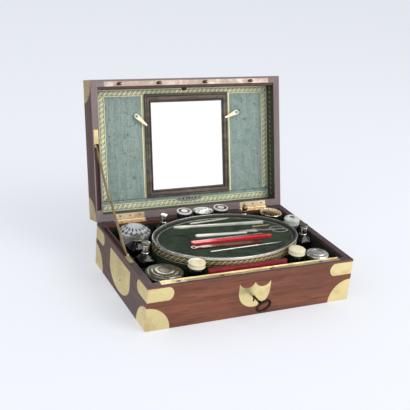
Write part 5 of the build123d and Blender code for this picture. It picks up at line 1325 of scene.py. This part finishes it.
    def scent_bottles(self) -> None:
        """The two square scent bottles by the back wall, one with a flat stopper, one with a silver ball."""
        left, right = (-75.0, 93.0), (90.0, 93.0)
        for side, centre, neck, high in (("left", left, 4.6, 93.0), ("right", right, 3.4, 89.5)):
            rows = [(1, 0, 70), (0.98, 0, 72), (0.6, 6.5, 74.5), (0.25, 6.5, 77.5), (0, 6.3, 80),
                    (0, neck + 0.7, 80.4), (0, neck, 83.2), (0, neck, high), (0, 0, high)]
            self.square(f"scent_{side}_glass", centre, (13.0, 13.0), 3.6, rows, f"scent_bottle_{side}")
            self.collar(f"scent_{side}_collar", centre, neck, 82.8, high - 0.1, f"scent_bottle_{side}")
        flat = [(0, 92.8), (4.8, 92.9), (6.4, 94.0), (6.6, 95.4), (6.6, 97.0), (5.6, 98.0), (3.4, 97.6), (0, 97.8)]
        self.turned("scent_left_top", flat, left, 48, SILVER, "scent_bottle_left")
        ball = [(0, 89.3), (3.6, 89.4), (5.2, 92.0), (5.6, 94.6), (5.0, 97.4), (3.2, 99.6), (1.6, 100.2), (0, 100.4)]
        self.turned("scent_right_top", ball, right, 48, OLD_SILVER, "scent_bottle_right")

    def comb_case(self) -> None:
        """The slim red case: its leather, and a near-black sheet in the slit between its two covers, as painted
        shade.
        """
        dress(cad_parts["comb_case"], RED_LEATHER)
        slit = slab(-75.0, 65.0, -105.3, -103.9, 82.0, 83.35)
        put("comb_case_slit", slit, GAP_SHADE, "comb_case", smooth=False)

    def build(self) -> None:
        """Build every vessel."""
        self.powder_boxes()
        self.capped_jars()
        self.square_bottles()
        self.fluted_jar()
        self.beaker_and_cup()
        self.white_topped()
        self.scent_bottles()
        self.comb_case()


# ------------------------------------------------------------------ studio
@dataclass
class Studio:
    """Pale floor, soft light and the camera at the photograph's place."""

    place: tuple[float, float, float] = (-0.610793, -1.121508, 0.656065)
    right: tuple[float, float, float] = (0.903501, -0.420066, 0.085030)
    up: tuple[float, float, float] = (0.086317, 0.372679, 0.923937)
    lens: float = 69.99
    floor_colour: Colour = (0.92, 0.935, 0.955)
    backdrop: Colour = (0.925, 0.945, 0.970)
    card_share: float = 0.4
    bright_way: tuple[float, float, float] = (0.55, -0.83, 0.0)
    aim: tuple[float, float, float] = (0.0, 0.0, 0.12)
    white: Colour = (1.0, 1.0, 1.0)

    def camera(self) -> None:
        """The camera: its matrix has right, up and back as columns."""
        lens = bpy.data.cameras.new("camera")
        lens.lens = self.lens
        lens.sensor_width = 36.0
        lens.clip_end = 50.0
        thing = bpy.data.objects.new("camera", lens)
        right, up = np.array(self.right), np.array(self.up)
        back = np.cross(right, up)
        turn = Matrix(np.column_stack([right, up, back]).tolist()).to_4x4()
        thing.matrix_world = Matrix.Translation(self.place) @ turn
        bpy.context.scene.collection.objects.link(thing)
        bpy.context.scene.camera = thing

    def lamp(self, name: str, place: tuple[float, float, float], size: float, power: float, colour: Colour) -> None:
        """A square soft light that looks at the box."""
        data = bpy.data.lights.new(name, "AREA")
        data.size = size
        data.energy = power
        data.color = colour
        thing = bpy.data.objects.new(name, data)
        thing.location = place
        aim = Matrix.Translation(place).translation - Matrix.Translation(self.aim).translation
        thing.rotation_euler = aim.to_track_quat("Z", "Y").to_euler()
        bpy.context.scene.collection.objects.link(thing)

    def slope(self, w: Wiring, low: float, high: float, to_low: float, to_high: float) -> bpy.types.NodeSocket:
        """How far a place or a direction lies towards the bright side, stretched to a range."""
        dot = w.add("VectorMath", w.add("TexCoord").outputs["Object"], self.bright_way,
                    settings={"operation": "DOT_PRODUCT"})
        return w.remap(dot.outputs["Value"], low, high, to_low, to_high)

    def floor(self) -> None:
        """A wide floor: pale to the camera apart from soft shadows, and brighter in metal towards the front right."""
        far = 6000.0
        grid = np.array([[[x, y, 0.0] for x in (-far, far)] for y in (-far, far)])
        thing = skin("floor", grid, smooth=False, turn_out=False)
        thing.data.flip_normals()
        made = bpy.data.materials.new("floor")
        w = fresh(made)
        seen = w.add("LightPath")
        matte = w.add("BsdfDiffuse", Color=self.floor_colour)
        card = w.add("Emission", Color=self.backdrop, Strength=1.0)
        shown = w.either(seen.outputs["Is Camera Ray"], matte.outputs[0],
                         w.either(self.card_share, matte.outputs[0], card.outputs[0]))
        glow = w.add("Emission", Color=self.white, Strength=self.slope(w, -0.5, 0.5, 0.42, 1.02))
        w.add("OutputMaterial", Surface=w.either(seen.outputs["Is Glossy Ray"], shown, glow.outputs[0]))
        thing.data.materials.append(made)

    def world(self) -> None:
        """Even sky light; to metal and glass a sky that is dim overhead and bright towards the front right."""
        made = bpy.data.worlds.new("studio")
        bpy.context.scene.world = made
        w = fresh(made)
        seen = w.add("LightPath")
        sky = w.add("Background", Color=(0.88, 0.91, 1.0), Strength=0.8)
        height = w.add("SeparateXYZ", Vector=w.add("TexCoord").outputs["Object"]).outputs["Z"]
        strength = w.math("MULTIPLY", self.slope(w, -0.5, 0.9, 0.42, 1.12), w.remap(height, 0.15, 0.65, 1.0, 0.5))
        room = w.add("Background", Color=(0.97, 0.98, 1.0), Strength=strength)
        shown = w.add("Background", Color=self.backdrop, Strength=1.0)
        reflected = w.either(seen.outputs["Is Glossy Ray"], sky.outputs[0], room.outputs[0])
        w.add("OutputWorld", Surface=w.either(seen.outputs["Is Camera Ray"], reflected, shown.outputs[0]))

    def build(self) -> None:
        """Set up the whole studio."""
        self.camera()
        self.floor()
        self.world()
        self.lamp("key", (1.3, -1.6, 1.9), 1.6, 26.0, (1.0, 0.97, 0.93))
        self.lamp("fill", (-1.9, -0.8, 1.4), 1.8, 8.0, (0.93, 0.96, 1.0))
        bpy.context.scene.view_settings.view_transform = "Standard"


def main() -> None:
    """Build the sub-assemblies in order and log each one."""
    logging.basicConfig(level=logging.INFO)
    for assembly in (Studio(), Carcass(), Flap(), OvalCase(), Tools(), Vessels()):
        assembly.build()
        LOG.info("built %s", type(assembly).__name__)


if __name__ == "__main__":
    main()
